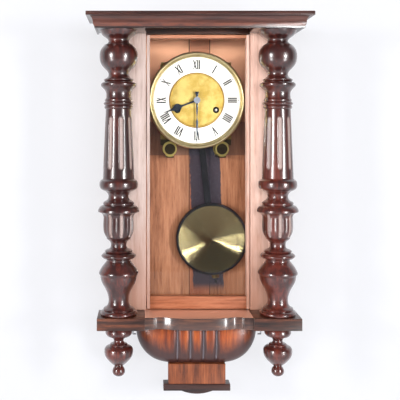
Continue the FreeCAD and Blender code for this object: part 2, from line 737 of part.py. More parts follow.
def make_plates():
    """Brass plates with lobed feet, pillars between them, the cock behind and brackets below."""
    x = inner_middle_x
    arbors = {
        "centre": (0, 0, cannon_pipe_radius), "third": (third_x, third_rise, arbor_radius),
        "escape": (0, escape_rise, arbor_radius), "anchor": (0, pivot_rise, arbor_radius),
        "going": (winding_x, -winding_drop, winding_arbor_radius),
        "strike": (-winding_x, -winding_drop, winding_arbor_radius),
        "hammer": (hammer_x, hammer_rise, arbor_radius)}
    foot = plate_lobe_drop + plate_lobe_radius - arbor_radius
    plates = []
    for y in (front_plate_y, back_plate_y - plate_thickness):
        plate = box(x - plate_half_width, x + plate_half_width, y, y + plate_thickness,
                    dial_z - plate_foot, dial_z + plate_top)
        for side in (-1, 1):
            plate = plate.fuse(rod_y(x + side * plate_lobe_x, dial_z - plate_lobe_drop, plate_lobe_radius,
                                     y, y + plate_thickness))
        far = y + plate_thickness + overrun
        plate = plate.cut(box(x - plate_half_width, x + plate_half_width, y - overrun, far,
                              dial_z - foot - plate_lobe_radius, dial_z - foot))
        for place_x, rise, radius in arbors.values():
            plate = plate.cut(rod_y(x + place_x, dial_z + rise, radius + running_fit, y - overrun,
                                    y + plate_thickness + overrun))
        plates.append(plate.removeSplitter())
    stud_x = x + minute_wheel_x
    stud_z = dial_z - minute_wheel_x
    stud = rod_y(stud_x, stud_z, arbor_radius, front_plate_y - motion_depth, front_plate_y)
    save("front_plate", fuse(plates[0], stud))

    half = suspension_block_half_width
    cock_foot = dial_z + pivot_rise + half + overrun
    cock_top = cock_foot + cock_height
    cock_back = pendulum_y + rod_half_thickness + cock_reach
    cock = fuse(box(x - half, x + half, back_plate_y, back_plate_y + plate_thickness, cock_foot, cock_top),
                box(x - half, x + half, back_plate_y, cock_back, cock_top - plate_thickness, cock_top),
                box(x - half, x + half, cock_back - cock_wall, cock_back, pivot_z - half, cock_top),
                rod_y(x, pivot_z, suspension_pin_radius, pendulum_y - rod_half_thickness - clearance,
                      cock_back))
    bell_post = rod_y(x + bell_x, dial_z + bell_rise, bell_post_radius, back_plate_y,
                      back_plate_y + bell_stand)
    save("back_plate", fuse(plates[1], bell_post))
    save("suspension_cock", cock)

    pillars = []
    for side in (-1, 1):
        for rise in (plate_top - 2 * pillar_radius, -plate_lobe_drop):
            reach = pillar_x if rise > 0 else plate_lobe_x
            pillars.append(rod_y(x + side * reach, dial_z + rise, pillar_radius,
                                 front_plate_y + plate_thickness, back_plate_y - plate_thickness))
    save("pillars", *pillars)

    brackets = []
    for side in (-1, 1):
        middle = x + side * plate_lobe_x
        top = dial_z - foot
        arm = box(middle - bracket_width / 2, middle + bracket_width / 2, front_plate_y, back_front_y,
                  top - bracket_thickness, top)
        leg = box(middle - bracket_width / 2, middle + bracket_width / 2, back_front_y - bracket_thickness,
                  back_front_y, top - bracket_thickness, top - bracket_thickness + bracket_foot_height)
        brackets.append(fuse(arm, leg))
    save("movement_brackets", *brackets)


def make_train():
    """Centre, third and escape wheels, the motion work, both barrels and their winding arbors."""
    x = inner_middle_x
    inner_front = front_plate_y + plate_thickness
    gear_y = inner_front + gear_setback
    barrel_y = inner_front + barrel_setback
    centre_y = gear_y + barrel_gear_width + centre_wheel_setback
    third_y = centre_y + third_wheel_setback
    escape_y = third_y + escape_wheel_setback
    tooth = tooth_depth
    minute_y = dial_front_y - minute_hand_gap - hand_thickness
    arbor = fuse(rod_y(x, dial_z, cannon_pipe_radius, minute_y - hand_thickness, back_plate_y),
                 gear(x, dial_z, centre_pinion_radius, tooth, 30, gear_y, gear_y + barrel_gear_width, 0),
                 gear(x, dial_z, centre_wheel_radius, tooth, 66, centre_y, centre_y + wheel_width, 0),
                 gear(x, dial_z, cannon_radius, tooth, 12, front_plate_y - cannon_setback - wheel_width,
                      front_plate_y - cannon_setback, 0),
                 rod_y(x, dial_z, hand_hub_radius, minute_y - collet_thickness, minute_y))
    save("centre_arbor", arbor)
    third = fuse(rod_y(x + third_x, dial_z + third_rise, arbor_radius, front_plate_y, back_plate_y),
                 gear(x + third_x, dial_z + third_rise, third_pinion_radius, tooth, 12, centre_y - wheel_gap,
                      centre_y + wheel_width + wheel_gap, 0),
                 gear(x + third_x, dial_z + third_rise, third_wheel_radius, tooth, 54, third_y,
                      third_y + wheel_width, 0))
    save("third_wheel", third)
    escape = fuse(rod_y(x, dial_z + escape_rise, arbor_radius, front_plate_y, back_plate_y),
                  gear(x, dial_z + escape_rise, escape_pinion_radius, tooth, 10, third_y - wheel_gap,
                       third_y + wheel_width + wheel_gap, 0),
                  gear(x, dial_z + escape_rise, escape_wheel_radius, escape_tooth, 30, escape_y,
                       escape_y + wheel_width, 0))
    save("escape_wheel", escape)
    hour_hand_y = dial_front_y - hour_hand_gap - hand_thickness
    high_y = front_plate_y - cannon_setback - wheel_width - motion_gap - wheel_width
    bore = cannon_pipe_radius + running_fit
    hour = gear(x, dial_z, hour_wheel_radius, tooth, 40, high_y, high_y + wheel_width, 0)
    hour = fuse(hour, rod_y(x, dial_z, hour_pipe_radius, hour_hand_y, high_y + wheel_width))
    save("hour_wheel", hour.cut(rod_y(x, dial_z, bore, hour_hand_y - overrun, high_y + wheel_width + overrun)))
    wheel_x = x + minute_wheel_x
    wheel_z = dial_z - minute_wheel_x
    low_y = front_plate_y - cannon_setback - wheel_width
    minute = fuse(gear(wheel_x, wheel_z, minute_wheel_radius, tooth, 36, low_y, low_y + wheel_width, 0),
                  gear(wheel_x, wheel_z, minute_pinion_radius, tooth, 10, high_y, low_y, 0))
    save("minute_wheel", minute.cut(rod_y(wheel_x, wheel_z, arbor_radius + running_fit, high_y - overrun,
                                          low_y + wheel_width + overrun)))
    for name, side, reach in (("going", 1, barrel_gear_radius), ("strike", -1, strike_gear_radius)):
        place_x = x + side * winding_x
        place_z = dial_z - winding_drop
        barrel = fuse(gear(place_x, place_z, reach, tooth, 80, gear_y, gear_y + barrel_gear_width, 0),
                      rod_y(place_x, place_z, barrel_hub_radius, gear_y, barrel_y),
                      rod_y(place_x, place_z, barrel_radius, barrel_y, barrel_y + barrel_depth))
        barrel = barrel.cut(rod_y(place_x, place_z, winding_arbor_radius + running_fit, gear_y - overrun,
                                  barrel_y + barrel_depth + overrun))
        save(name + "_barrel", barrel)
        square = winding_square
        tip_y = dial_front_y - winding_square_reach
        stem = rod_y(place_x, place_z, winding_arbor_radius, front_plate_y - ratchet_width * 2, back_plate_y)
        end = box(place_x - square, place_x + square, tip_y, front_plate_y, place_z - square, place_z + square)
        winder = fuse(stem, end, gear(place_x, place_z, ratchet_radius, tooth, 24, front_plate_y - ratchet_width,
                                      front_plate_y - clearance, 0))
        save(name + "_winding_arbor", winder)


def make_escapement():
    """Anchor on its arbor with the crutch behind the back plate, swung with the pendulum."""
    x = inner_middle_x
    inner_front = front_plate_y + plate_thickness
    centre_y = inner_front + gear_setback + barrel_gear_width + centre_wheel_setback
    escape_y = centre_y + third_wheel_setback + escape_wheel_setback
    fall = pivot_rise - escape_rise
    reach = escape_wheel_radius + pallet_clearance + crutch_pin_radius
    parts = [rod_y(x, pivot_z, arbor_radius, front_plate_y, back_plate_y + crutch_collet),
             rod_y(x, pivot_z, pillar_radius - clearance, escape_y, escape_y + wheel_width),
             rod_y(x, pivot_z, pillar_radius - clearance, back_plate_y + clearance,
                   back_plate_y + crutch_collet)]
    for side in (-1, 1):
        spread = reach * math.sin(math.pi / 4)
        pallet = Vector(x + side * spread, escape_y, pivot_z - fall + spread)
        hub = Vector(x, escape_y, pivot_z)
        along = (pallet - hub).normalize()
        across = Vector(along.z, 0, -along.x) * crutch_pin_radius
        parts.append(polygon_prism([hub + across, pallet + across, pallet - across, hub - across],
                                   Vector(0, wheel_width, 0)))
        parts.append(rod_y(pallet.x, pallet.z, crutch_pin_radius, escape_y, escape_y + wheel_width))
    arm_y = back_plate_y + clearance + crutch_arm_gap
    parts.append(box(x - crutch_half_width, x + crutch_half_width, arm_y, arm_y + crutch_arm_thickness,
                     pivot_z - crutch_length, pivot_z))
    parts.append(rod_y(x, pivot_z - crutch_length + crutch_half_width, crutch_pin_radius, arm_y,
                       pendulum_y + rod_half_thickness))
    anchor = fuse(*parts)
    anchor.rotate(Vector(x, 0, pivot_z), Vector(0, 1, 0), -pendulum_rest_angle)
    save("anchor", anchor)


def make_pendulum():
    """Rod hung from the pin of the cock, black bob with a spun brass face, and the rating nut."""
    x = inner_middle_x
    bob_z = pivot_z - pendulum_length
    near_y = pendulum_y - rod_half_thickness
    far_y = pendulum_y + rod_half_thickness
    half = suspension_block_half_width
    block = box(x - half, x + half, near_y, far_y, pivot_z - half, pivot_z + half)
    block = block.cut(rod_y(x, pivot_z, suspension_pin_radius + running_fit, near_y - overrun, far_y + overrun))
    spring = box(x - half / 2, x + half / 2, pendulum_y - spring_thickness, pendulum_y + spring_thickness,
                 pivot_z - rod_start, pivot_z - half)
    tail_z = bob_z - bob_radius
    rod = box(x - rod_half_width, x + rod_half_width, near_y, far_y, tail_z, pivot_z - rod_start)
    slot_half = crutch_pin_radius + crutch_slot_gap
    slot_z = pivot_z - crutch_length + crutch_half_width
    slot = box(x - slot_half, x + slot_half, near_y - overrun, far_y + overrun, slot_z - 2 * slot_half,
               slot_z + 2 * slot_half)
    screw = rod_z(x, pendulum_y, rating_screw_radius, tail_z - rating_tail, tail_z)
    rod = fuse(block, spring, rod.cut(slot), screw)
    bob_front = pendulum_y - bob_thickness / 2
    bob_back = pendulum_y + bob_thickness / 2
    edge = bob_radius - bob_rim_round
    shell = spun([(0, bob_front), (edge, bob_front), (bob_radius, bob_front + bob_rim_round),
                  (bob_radius, bob_back - bob_rim_round), (edge, bob_back), (0, bob_back)], x, bob_z)
    shell = shell.cut(box(x - rod_half_width - glass_fit, x + rod_half_width + glass_fit, near_y - glass_fit,
                          far_y + glass_fit, bob_z - bob_radius - overrun, bob_z + bob_radius + overrun))
    crown = Part.Arc(Vector(0, bob_front - bob_face_crown, 0),
                     Vector(bob_face_radius * bob_crown_place_share,
                            bob_front - bob_face_crown * bob_crown_reach_share, 0),
                     Vector(bob_face_radius, bob_front, 0)).toShape()
    middle = Vector(0, bob_front, 0)
    face = Part.Face(Part.Wire([crown, Part.makeLine(Vector(bob_face_radius, bob_front, 0), middle),
                                Part.makeLine(middle, Vector(0, bob_front - bob_face_crown, 0))]))
    face = face.revolve(Vector(0, 0, 0), Vector(0, 1, 0), 360)
    face.translate(Vector(x, 0, bob_z))
    nut_top = bob_z - bob_radius - clearance
    nut = rod_z(x, pendulum_y, rating_nut_radius, nut_top - rating_nut_height, nut_top)
    nut = nut.cut(rod_z(x, pendulum_y, rating_screw_radius + running_fit, nut_top - rating_nut_height - overrun,
                        nut_top + overrun))
    pieces = {"pendulum_rod": rod, "bob": shell, "bob_face": face, "rating_nut": nut}
    for name, piece in pieces.items():
        piece.rotate(Vector(x, 0, pivot_z), Vector(0, 1, 0), -pendulum_rest_angle)
        save(name, piece)


def make_strike():
    """A bell behind the movement and the hammer that strikes it."""
    x = inner_middle_x + bell_x
    z = dial_z + bell_rise
    open_y = back_plate_y + bell_stand - bell_depth
    crown_y = back_plate_y + bell_stand
    wall = bell_wall
    flat = bell_radius * bell_crown_share
    bell = spun([(0, crown_y), (0, crown_y + wall), (flat, crown_y + wall), (bell_radius, crown_y - wall * 2),
                 (bell_radius, open_y), (bell_radius - wall, open_y), (bell_radius - wall, crown_y - wall * 2),
                 (flat - wall, crown_y)], x, z)
    save("bell", bell)
    arbor_x = inner_middle_x + hammer_x
    arbor_z = dial_z + hammer_rise
    head_x = x - bell_radius - hammer_gap - hammer_head_radius
    arm_y = open_y + wheel_width
    arbor = rod_y(arbor_x, arbor_z, arbor_radius, front_plate_y, arm_y + wheel_width)
    arm = box(arbor_x - arbor_radius, arbor_x + arbor_radius, arm_y, arm_y + wheel_width, arbor_z, z)
    head = rod_y(head_x, z, hammer_head_radius, open_y + wheel_gap, crown_y - wheel_width)
    save("hammer", fuse(arbor, arm, head))


make_back()
make_case()
make_door()
make_blocks()
make_columns()
make_cornice()
make_serpentine()
make_under_base()
make_dial()
make_hands()
make_plates()
make_train()
make_escapement()
make_pendulum()
make_strike()
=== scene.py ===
# %% [markdown]
# # A small wall regulator clock
#
# The clock is a glazed wooden case that hangs on a wall. Two turned columns stand between a
# moulded cornice and a base with a waved front, and a fluted apron hangs below. Behind the glass
# are a white dial with a brass middle and a pendulum with a spun brass bob.
#
# The sizes are settled: the imported model holds every piece at its real place. This file gives each
# piece its finish, and makes the pieces anew whose roundness or carving the plain solids only hint
# at. First the imported model is loaded.

import json
import math

import bmesh
import bpy
import numpy as np
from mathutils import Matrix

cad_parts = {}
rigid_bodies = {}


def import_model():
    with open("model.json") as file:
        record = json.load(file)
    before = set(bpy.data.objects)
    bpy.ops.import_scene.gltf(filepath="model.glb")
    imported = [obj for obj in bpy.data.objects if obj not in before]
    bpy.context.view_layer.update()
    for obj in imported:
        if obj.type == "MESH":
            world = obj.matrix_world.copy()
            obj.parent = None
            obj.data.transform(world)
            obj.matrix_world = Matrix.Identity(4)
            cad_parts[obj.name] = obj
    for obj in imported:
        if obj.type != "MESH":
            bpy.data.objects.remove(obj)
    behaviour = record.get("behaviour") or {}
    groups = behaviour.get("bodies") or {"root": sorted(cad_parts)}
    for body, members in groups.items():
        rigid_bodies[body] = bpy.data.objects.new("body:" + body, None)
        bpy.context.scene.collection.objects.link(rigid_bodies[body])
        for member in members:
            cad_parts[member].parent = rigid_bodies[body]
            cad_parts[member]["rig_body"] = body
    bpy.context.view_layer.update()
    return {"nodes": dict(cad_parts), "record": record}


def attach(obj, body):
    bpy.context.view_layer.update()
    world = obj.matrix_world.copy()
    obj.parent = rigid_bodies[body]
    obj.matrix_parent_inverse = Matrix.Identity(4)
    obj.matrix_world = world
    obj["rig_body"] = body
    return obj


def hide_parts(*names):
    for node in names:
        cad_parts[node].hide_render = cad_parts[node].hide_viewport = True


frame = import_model()
mm = 0.001
middle_x = 3.0 * mm
dial_z = -85.5 * mm
pivot_z = -23.5 * mm

# %% [markdown]
# ## Shader sums written as Python
#
# A finish is a graph of nodes, and most of them only add and multiply numbers. Wiring those by
# hand hides the idea. The class `Shade` wraps one output, so that `0.3 + 0.7 * grain` adds the
# Math nodes by itself. `Finish.node` makes every other kind of node: its settings go in first,
# because some of them decide which sockets the node has.

# %% A socket that takes part in sums
class Shade:
    """One output of a finish's graph. Each operator adds one Math node and returns its output."""

    def __init__(self, finish, socket):
        self.finish = finish
        self.socket = socket

    def math(self, operation, *others):
        values = {f"i{n}": v for n, v in enumerate((self,) + others)}
        return self.finish.node("Math", {"operation": operation}, **values)

    def __add__(self, other):
        return self.math("ADD", other)

    def __mul__(self, other):
        return self.math("MULTIPLY", other)

    def __sub__(self, other):
        return self.math("SUBTRACT", other)

    def __rsub__(self, other):
        return self.finish.node("Math", {"operation": "SUBTRACT"}, i0=other, i1=self)

    def __pow__(self, other):
        return self.math("POWER", other)

    def step(self, low, high):
        """Rises smoothly from 0 at low to 1 at high."""
        names = {"i0": self, "i1": low, "i2": high, "i3": 0.0, "i4": 1.0}
        return self.finish.node("MapRange", {"interpolation_type": "SMOOTHSTEP"}, **names)

    __radd__ = __add__
    __rmul__ = __mul__


# %% A finish and its one way of adding nodes
def tint(red, green, blue):
    """A colour of 0 to 255 as seen on screen, turned into the linear numbers that light uses."""
    part = np.array([red, green, blue]) / 255
    linear = np.where(part < 0.04045, part / 12.92, ((part + 0.055) / 1.055) ** 2.4)
    return (*[float(v) for v in linear], 1.0)


class Finish:
    """A material with one Principled shader. Numbers that hold all over go straight on its sockets."""

    def __init__(self, name, **fixed):
        self.material = bpy.data.materials.new(name)
        self.material.use_nodes = True
        self.tree = self.material.node_tree
        self.shader = self.tree.nodes["Principled BSDF"]
        for socket, value in fixed.items():
            self.shader.inputs[socket.replace("_", " ")].default_value = value

    def feed(self, socket, value):
        if isinstance(value, Shade):
            self.tree.links.new(value.socket, socket)
        else:
            socket.default_value = value

    def node(self, kind, settings=None, out=0, **inputs):
        made = self.tree.nodes.new("ShaderNode" + kind)
        for key, value in (settings or {}).items():
            if key == "stops":
                ramp = made.color_ramp
                while len(ramp.elements) < len(value):
                    ramp.elements.new(0.5)
                for element, (place, colour) in zip(ramp.elements, value):
                    element.position = place
                    element.color = colour
            else:
                setattr(made, key, value)
        for key, value in inputs.items():
            numbered = key[0] == "i" and key[1:].isdigit()
            socket = made.inputs[int(key[1:])] if numbered else made.inputs[key.replace("_", " ")]
            self.feed(socket, value)
        return Shade(self, made.outputs[out])

    def place(self, scale=(1, 1, 1), shift=(0, 0, 0)):
        """Object coordinates in metres, moved and then stretched."""
        here = self.node("TexCoord", out=3)
        moved = self.node("VectorMath", {"operation": "ADD"}, i0=here, i1=shift)
        return self.node("Mapping", Vector=moved, Scale=scale)

    def upward(self):
        """Height in metres, below 0 under the frame's origin."""
        return self.node("SeparateXYZ", out=2, i0=self.place())

    def radius(self, x, z):
        """Distance in metres from the line toward the viewer through the point (x, z)."""
        centred = self.place((1, 0, 1), (-x, 0, -z))
        return self.node("VectorMath", {"operation": "LENGTH"}, out=1, i0=centred)

    def mark(self, label):
        """The number that a piece carries on each of its points under the label."""
        return self.node("Attribute", {"attribute_name": label}, out=2)

    def noise(self, where, scale, detail=3.0, rough=0.55, twist=0.0):
        names = dict(Vector=where, Scale=scale, Detail=detail, Roughness=rough, Distortion=twist)
        return self.node("TexNoise", **names)

    def blend(self, first, second, mask):
        """The first colour where the mask is 0, the second where it is 1."""
        return self.node("Mix", {"data_type": "RGBA"}, out=2, i0=mask, i6=first, i7=second)

    def darken(self, colour, amount):
        """The colour times a grey of 0 to 1."""
        grey = self.node("CombineColor", i0=amount, i1=amount, i2=amount)
        times = {"data_type": "RGBA", "blend_type": "MULTIPLY"}
        return self.node("Mix", times, out=2, i0=1.0, i6=colour, i7=grey)

    def paint(self, **links):
        for name, value in links.items():
            self.feed(self.shader.inputs[name.replace("_", " ")], value)

    def relief(self, height, depth, strength=1.0):
        """Bumps as deep as the depth in metres where the height goes from 0 to 1."""
        names = dict(Strength=strength, Distance=depth, Height=height)
        self.paint(Normal=self.node("Bump", **names))


# %% [markdown]
# ## Varnished wood
#
# Wood shows three things at once: a broad figure that wanders across the board, fibres a few
# millimetres wide that run along it, and fine dark pores. Each is a noise stretched along the
# grain. One function makes every board of the case, and its colours tell the pieces apart. The
# varnish is the shader's coat, a thin clear layer over a duller wood.

# %% Wood along one axis
def wood(name, dark, mid, light, grain="Z", figure=26.0, fibre=230.0, sheen=0.3, coat=0.5, seed=0.0,
         pores=0.35, gloss=0.22):
    """Colour = ramp(0.45 figure + 0.4 fibre + 0.15 pore noise), darkened where the pore noise is high."""
    finish = Finish(name, Coat_Roughness=gloss, Coat_Weight=coat)
    stretch = {"X": (0.07, 1, 1), "Y": (1, 0.07, 1), "Z": (1, 1, 0.07)}[grain]
    where = finish.place(stretch, (seed, 2 * seed, 3 * seed))
    broad = finish.noise(where, figure, 3, 0.5, 0.7)
    thread = finish.noise(where, fibre, 4, 0.6)
    pore = finish.noise(where, 4 * fibre, 2, 0.5)
    tone = 0.45 * broad + 0.4 * thread + 0.15 * pore
    stops = [(0.38, dark), (0.5, mid), (0.63, light)]
    colour = finish.node("ValToRGB", {"stops": stops}, Fac=tone)
    colour = finish.darken(colour, 1 - pores * pore.step(0.55, 0.72))
    finish.paint(Base_Color=colour, Roughness=sheen + 0.2 * (thread - 0.5))
    finish.relief(0.6 * thread + 0.4 * pore, 0.12 * mm, 0.35)
    return finish, colour


planks, plank_colour = wood("backboard_walnut", tint(128, 74, 44), tint(176, 116, 80), tint(202, 144, 106),
                            figure=22.0, coat=0.15, sheen=0.5, pores=0.25)


def between(value, low, high, soft):
    """1 between low and high, falling to 0 over the soft distance outside."""
    return value.step(low - soft, low) * (1 - value.step(high, high + soft))


def at_line(value, line, width):
    """1 on a line across the value, falling to 0 at the width on both sides."""
    return 1 - (value - line).math("ABSOLUTE").step(0.3 * width, width)


here = planks.place()
across = planks.node("SeparateXYZ", i0=here)
inward = planks.node("SeparateXYZ", out=1, i0=here)
upward = planks.node("SeparateXYZ", out=2, i0=here)
seam_left, seam_right, seam_width = -0.0055, 0.035, 0.0012
# painted light: the planks grow brighter toward the top
painted_top_light = planks.blend(plank_colour, tint(255, 190, 150), upward.step(-0.17, -0.03))
middle = between(across, seam_left, seam_right, 0.0002)
reddened = planks.blend(painted_top_light, tint(188, 104, 76), middle * 0.45)
seams = at_line(across, seam_left, seam_width).math("MAXIMUM", at_line(across, seam_right, seam_width))
bare = planks.blend(reddened, tint(40, 20, 16), seams * 0.85)

# %% [markdown]
# The planks are painted brighter toward the top, as painted light, the middle one is redder, and
# dark lines part them. A broad dark strip, a finger's length wide, is painted behind the pendulum as
# painted shade, where neither side lamp reaches, and a band of painted shadow of the dial behind the
# movement's foot. It can't be told from one view whether these are stains or shade; here they are
# painted. A mask is a range of the sideways or upright place; a noise roughens its edges, and it
# stays on the front because it also asks how deep the point lies.

# %% The painted shade behind the pendulum and the painted shadow of the dial
ragged = planks.noise(here, 110.0, 4, 0.7)
drift = across + 0.007 * (ragged - 0.5) + 0.03 * (upward + 0.2)
# painted shade: a dark strip behind the pendulum where neither side lamp reaches, with light specks in it
strip = between(drift, -0.004, 0.055, 0.0012) * (1 - upward.step(-0.175, -0.165))
on_front = 1 - inward.step(-0.0112, -0.0108)
strip = strip * upward.step(-0.46, -0.44) * on_front
specks = planks.noise(here, 700.0, 2, 0.7).step(0.58, 0.75)
painted_strip_shade = planks.blend(tint(48, 50, 66), tint(140, 142, 156), specks * 0.6)
# painted shadow of the dial: a dark band behind the movement's foot
foot = between(upward, -0.189, -0.125, 0.002) * on_front
painted_dial_shadow = planks.blend(bare, tint(70, 48, 42), foot * 0.6)
planks.paint(Base_Color=planks.blend(painted_dial_shadow, painted_strip_shade, strip * 0.94))


# %% [markdown]
# The sides are a warm walnut, the floor, the roof and the door's top rail a browner one, and its
# bottom rail a redder one. The stiles of the face frame and of the door are pale, pinker on the
# right; painted shade makes them browner toward the foot and dark at the very top. The cornice,
# columns and finials are dark and glossy. The base blocks show brown streaks under a dark stain,
# and the frame's head, a pale board, takes the same dark finish as painted shade under the cornice.
# The waved board's top edge is painted pale, as a painted highlight.

# %% The other woods
case_wood = wood("case_walnut", tint(130, 84, 64), tint(176, 118, 90), tint(206, 146, 112),
                 seed=0.31, coat=0.15)[0]
door_wood = wood("door_walnut", tint(122, 74, 54), tint(164, 106, 80), tint(188, 130, 100), "X",
                 seed=0.38, coat=0.2)[0]
rail_wood = wood("rail_walnut", tint(96, 46, 28), tint(138, 78, 50), tint(168, 104, 74), "X",
                 seed=0.57, coat=0.3, sheen=0.4)[0]
stile_tones = (("left", 0.77, (168, 142, 132), (192, 170, 161), (208, 188, 181)),
               ("right", 0.43, (198, 154, 136), (229, 190, 173), (240, 208, 194)))
face_pair = []
for side, seed, dark, mid, light in stile_tones:
    stile, stile_colour = wood("face_frame_" + side, tint(*dark), tint(*mid), tint(*light), seed=seed,
                               pores=0.12, sheen=0.45, coat=0.2)
    height = stile.upward()
    # painted shade: the stiles turn browner toward the foot and dark at the very top, under the cornice
    painted_foot_shade = stile.blend(stile_colour, tint(158, 108, 86), (1 - height.step(-0.46, -0.22)) * 0.75)
    stile.paint(Base_Color=stile.blend(painted_foot_shade, tint(36, 22, 20), height.step(0.038, 0.0395) * 0.9))
    face_pair.append(stile)
# the base blocks' dark stain; the frame's head takes the same finish as painted shade
block_wood = wood("base_block_stain_and_head_shade", tint(24, 12, 10), tint(62, 32, 22), tint(112, 60, 36), "X",
                  figure=70.0, seed=0.13, sheen=0.4, coat=0.25)[0]
board_wood, board_colour = wood("base_board_stained", tint(32, 22, 22), tint(70, 44, 36),
                                tint(116, 74, 52), "X", figure=46.0, seed=0.91, sheen=0.35, coat=1.0,
                                gloss=0.13)
# painted highlight: the waved board's top edge painted pale
painted_top_highlight = board_wood.upward().step(-0.4668, -0.4666)
board_wood.paint(Base_Color=board_wood.blend(board_colour, tint(222, 160, 134), painted_top_highlight * 0.9))
pendant_wood = wood("pendant_mahogany", tint(74, 34, 16), tint(116, 58, 28), tint(144, 80, 44), figure=60.0,
                    fibre=420.0, seed=0.23, sheen=0.5, coat=0.12)[0]
platform_wood = wood("platform_mahogany", tint(24, 10, 8), tint(48, 22, 16), tint(66, 34, 24), "X",
                     seed=0.37, sheen=0.4, coat=0.3)[0]
cornice_wood, cornice_colour = wood("cornice_mahogany", tint(24, 9, 8), tint(52, 24, 18),
                                    tint(80, 40, 29), "X", seed=0.61, sheen=0.32, coat=0.7)
turned_wood, turned_colour = wood("turned_mahogany", tint(26, 9, 9), tint(52, 18, 15), tint(96, 38, 26),
                                  figure=18.0, fibre=160.0, seed=0.47, sheen=0.3, coat=1.0, pores=0.2,
                                  gloss=0.2)

# %% [markdown]
# Handling wears the varnish off the cornice's lower edge, and its foot is painted dark as painted
# shade. Dust and pale filler sit in the columns' flutes. The columns carry that as a number on each
# point, which is 1 inside a groove, and the finish reads it as an attribute; the apron carries its
# painted shade under the same attribute.

# %% Wear and painted shade on the cornice, and dust in the grooves
edge_z = cornice_wood.upward()
rubbed = cornice_wood.noise(cornice_wood.place((0.3, 1, 1)), 160.0).step(0.3, 0.6)
worn = between(edge_z, 0.0378, 0.0418, 0.001) * rubbed
edged = cornice_wood.blend(cornice_colour, tint(104, 50, 28), worn * 0.7)
# painted shade: the cornice's foot painted dark
painted_cornice_foot_shade = 1 - edge_z.step(0.0358, 0.0372)
cornice_wood.paint(Base_Color=cornice_wood.blend(edged, tint(20, 9, 8), painted_cornice_foot_shade * 0.9))

hollow = turned_wood.mark("hollow")
powder = turned_wood.noise(turned_wood.place(), 500.0)
dust = turned_wood.blend(tint(112, 92, 86), tint(172, 152, 146), powder)
turned_wood.paint(Base_Color=turned_wood.blend(turned_colour, dust, hollow))
turned_wood.paint(Coat_Weight=1 - 0.9 * hollow, Roughness=0.3 + 0.3 * hollow)

# %% [markdown]
# ## Metals, enamel and glass
#
# Spun brass is turned on a lathe, so its marks are circles about its middle. A wave of the
# distance from that middle drives fine ridges. Light from one lamp then reflects along two bright
# wedges, as it does on the real bob, without any wedge being painted. The front plate is painted
# dark at its foot as painted shade, with a painted highlight, a bright ring, at each of its round
# lower corners.

# %% Brass
def plain(name, dark, light, scale=60.0, rough=0.3, **fixed):
    """One tone that drifts a little over the surface."""
    finish = Finish(name, **fixed)
    cloud = finish.noise(finish.place(), scale, 3, 0.6)
    colour = finish.blend(dark, light, cloud.step(0.3, 0.7))
    finish.paint(Base_Color=colour, Roughness=rough + 0.15 * (cloud - 0.5))
    finish.relief(finish.noise(finish.place(), 900.0, 2), 0.02 * mm, 0.3)
    return finish


def brass(name, dark, light, rough=0.3, spots=0.25, seed=0.0):
    """Metal with a slow change of tone and small dull spots."""
    finish = Finish(name, Metallic=1.0)
    where = finish.place(shift=(seed, seed, seed))
    cloud = finish.noise(where, 45.0, 4, 0.6)
    fleck = finish.noise(where, 600.0, 2, 0.6).step(0.56, 0.74)
    colour = finish.blend(dark, light, cloud.step(0.35, 0.65))
    spotted = finish.darken(colour, 1 - spots * fleck)
    finish.paint(Base_Color=spotted, Roughness=rough + 0.18 * (cloud - 0.4))
    return finish, colour


def circles(finish, x, z, pitch, depth):
    """Ridges about the point (x, z): height = the square of the fraction of radius / pitch."""
    radius = finish.radius(x, z)
    ridge = (radius * (1 / pitch)).math("FRACT")
    finish.relief(ridge ** 2, depth)
    return radius


def near_pair(finish, reach, z):
    """Distance to the nearer of two points at the height z, the reach to each side of the dial's axis."""
    return finish.radius(middle_x - reach, z).math("MINIMUM", finish.radius(middle_x + reach, z))


plate_brass, plate_colour = brass("plate_brass", tint(128, 104, 56), tint(186, 160, 92), 0.34)
# painted highlight: a bright ring at each round lower corner; painted shade: the plate's foot dark
painted_lobe_highlight = between(near_pair(plate_brass, 49.0 * mm, dial_z - 91.0 * mm), 0.0105, 0.014, 0.0008)
painted_plate_foot_shade = 1 - plate_brass.upward().step(-0.160, -0.156)
plate_painted_shade = plate_brass.blend(plate_colour, tint(56, 48, 38), painted_plate_foot_shade * 0.9)
plate_brass.paint(Base_Color=plate_brass.blend(plate_painted_shade, tint(226, 204, 120), painted_lobe_highlight))
bezel_brass = brass("bezel_brass", tint(206, 190, 142), tint(222, 206, 160), 0.32, 0.0, seed=0.2)[0]
wheel_brass = brass("wheel_brass", tint(170, 140, 76), tint(212, 182, 110), 0.3, seed=0.4)[0]
centre_brass, centre_colour = brass("dial_centre_brass", tint(226, 190, 96), tint(246, 220, 134), 0.5, 0.1,
                                    0.6)
bob_brass = plain("bob_brass", tint(142, 130, 94), tint(152, 141, 104), 30.0, 0.14, Metallic=1.0)
bob_turn = math.radians(6.0)
bob_reach = 0.331
bob_x = middle_x + bob_reach * math.sin(bob_turn)
bob_z = pivot_z - bob_reach * math.cos(bob_turn)
circles(bob_brass, bob_x, bob_z, 0.0014, 0.0005)
centre_radius = circles(centre_brass, middle_x, dial_z, 0.0011, 0.00003)
rim = centre_radius.step(0.0492, 0.0499)
centre_brass.paint(Base_Color=centre_brass.blend(centre_colour, tint(168, 128, 62), rim))

# %% [markdown]
# Steel, blued steel, black lacquer and enamel are simpler: each is one colour with a little change
# of tone, so that it never looks like plastic. A winding arbor is painted bright at its square, a
# painted reflection, on a dark ground that is painted shade, as in a deep hole; the centre arbor is
# steel near its axis and brass outside. The glass mixes a clear shader with a mirror and reflects
# more at a slant, as a window does. Its share is Schlick's sum, 0.04 plus 0.96 times the fifth power
# of one less the cosine, because that is alike on both faces of the pane.

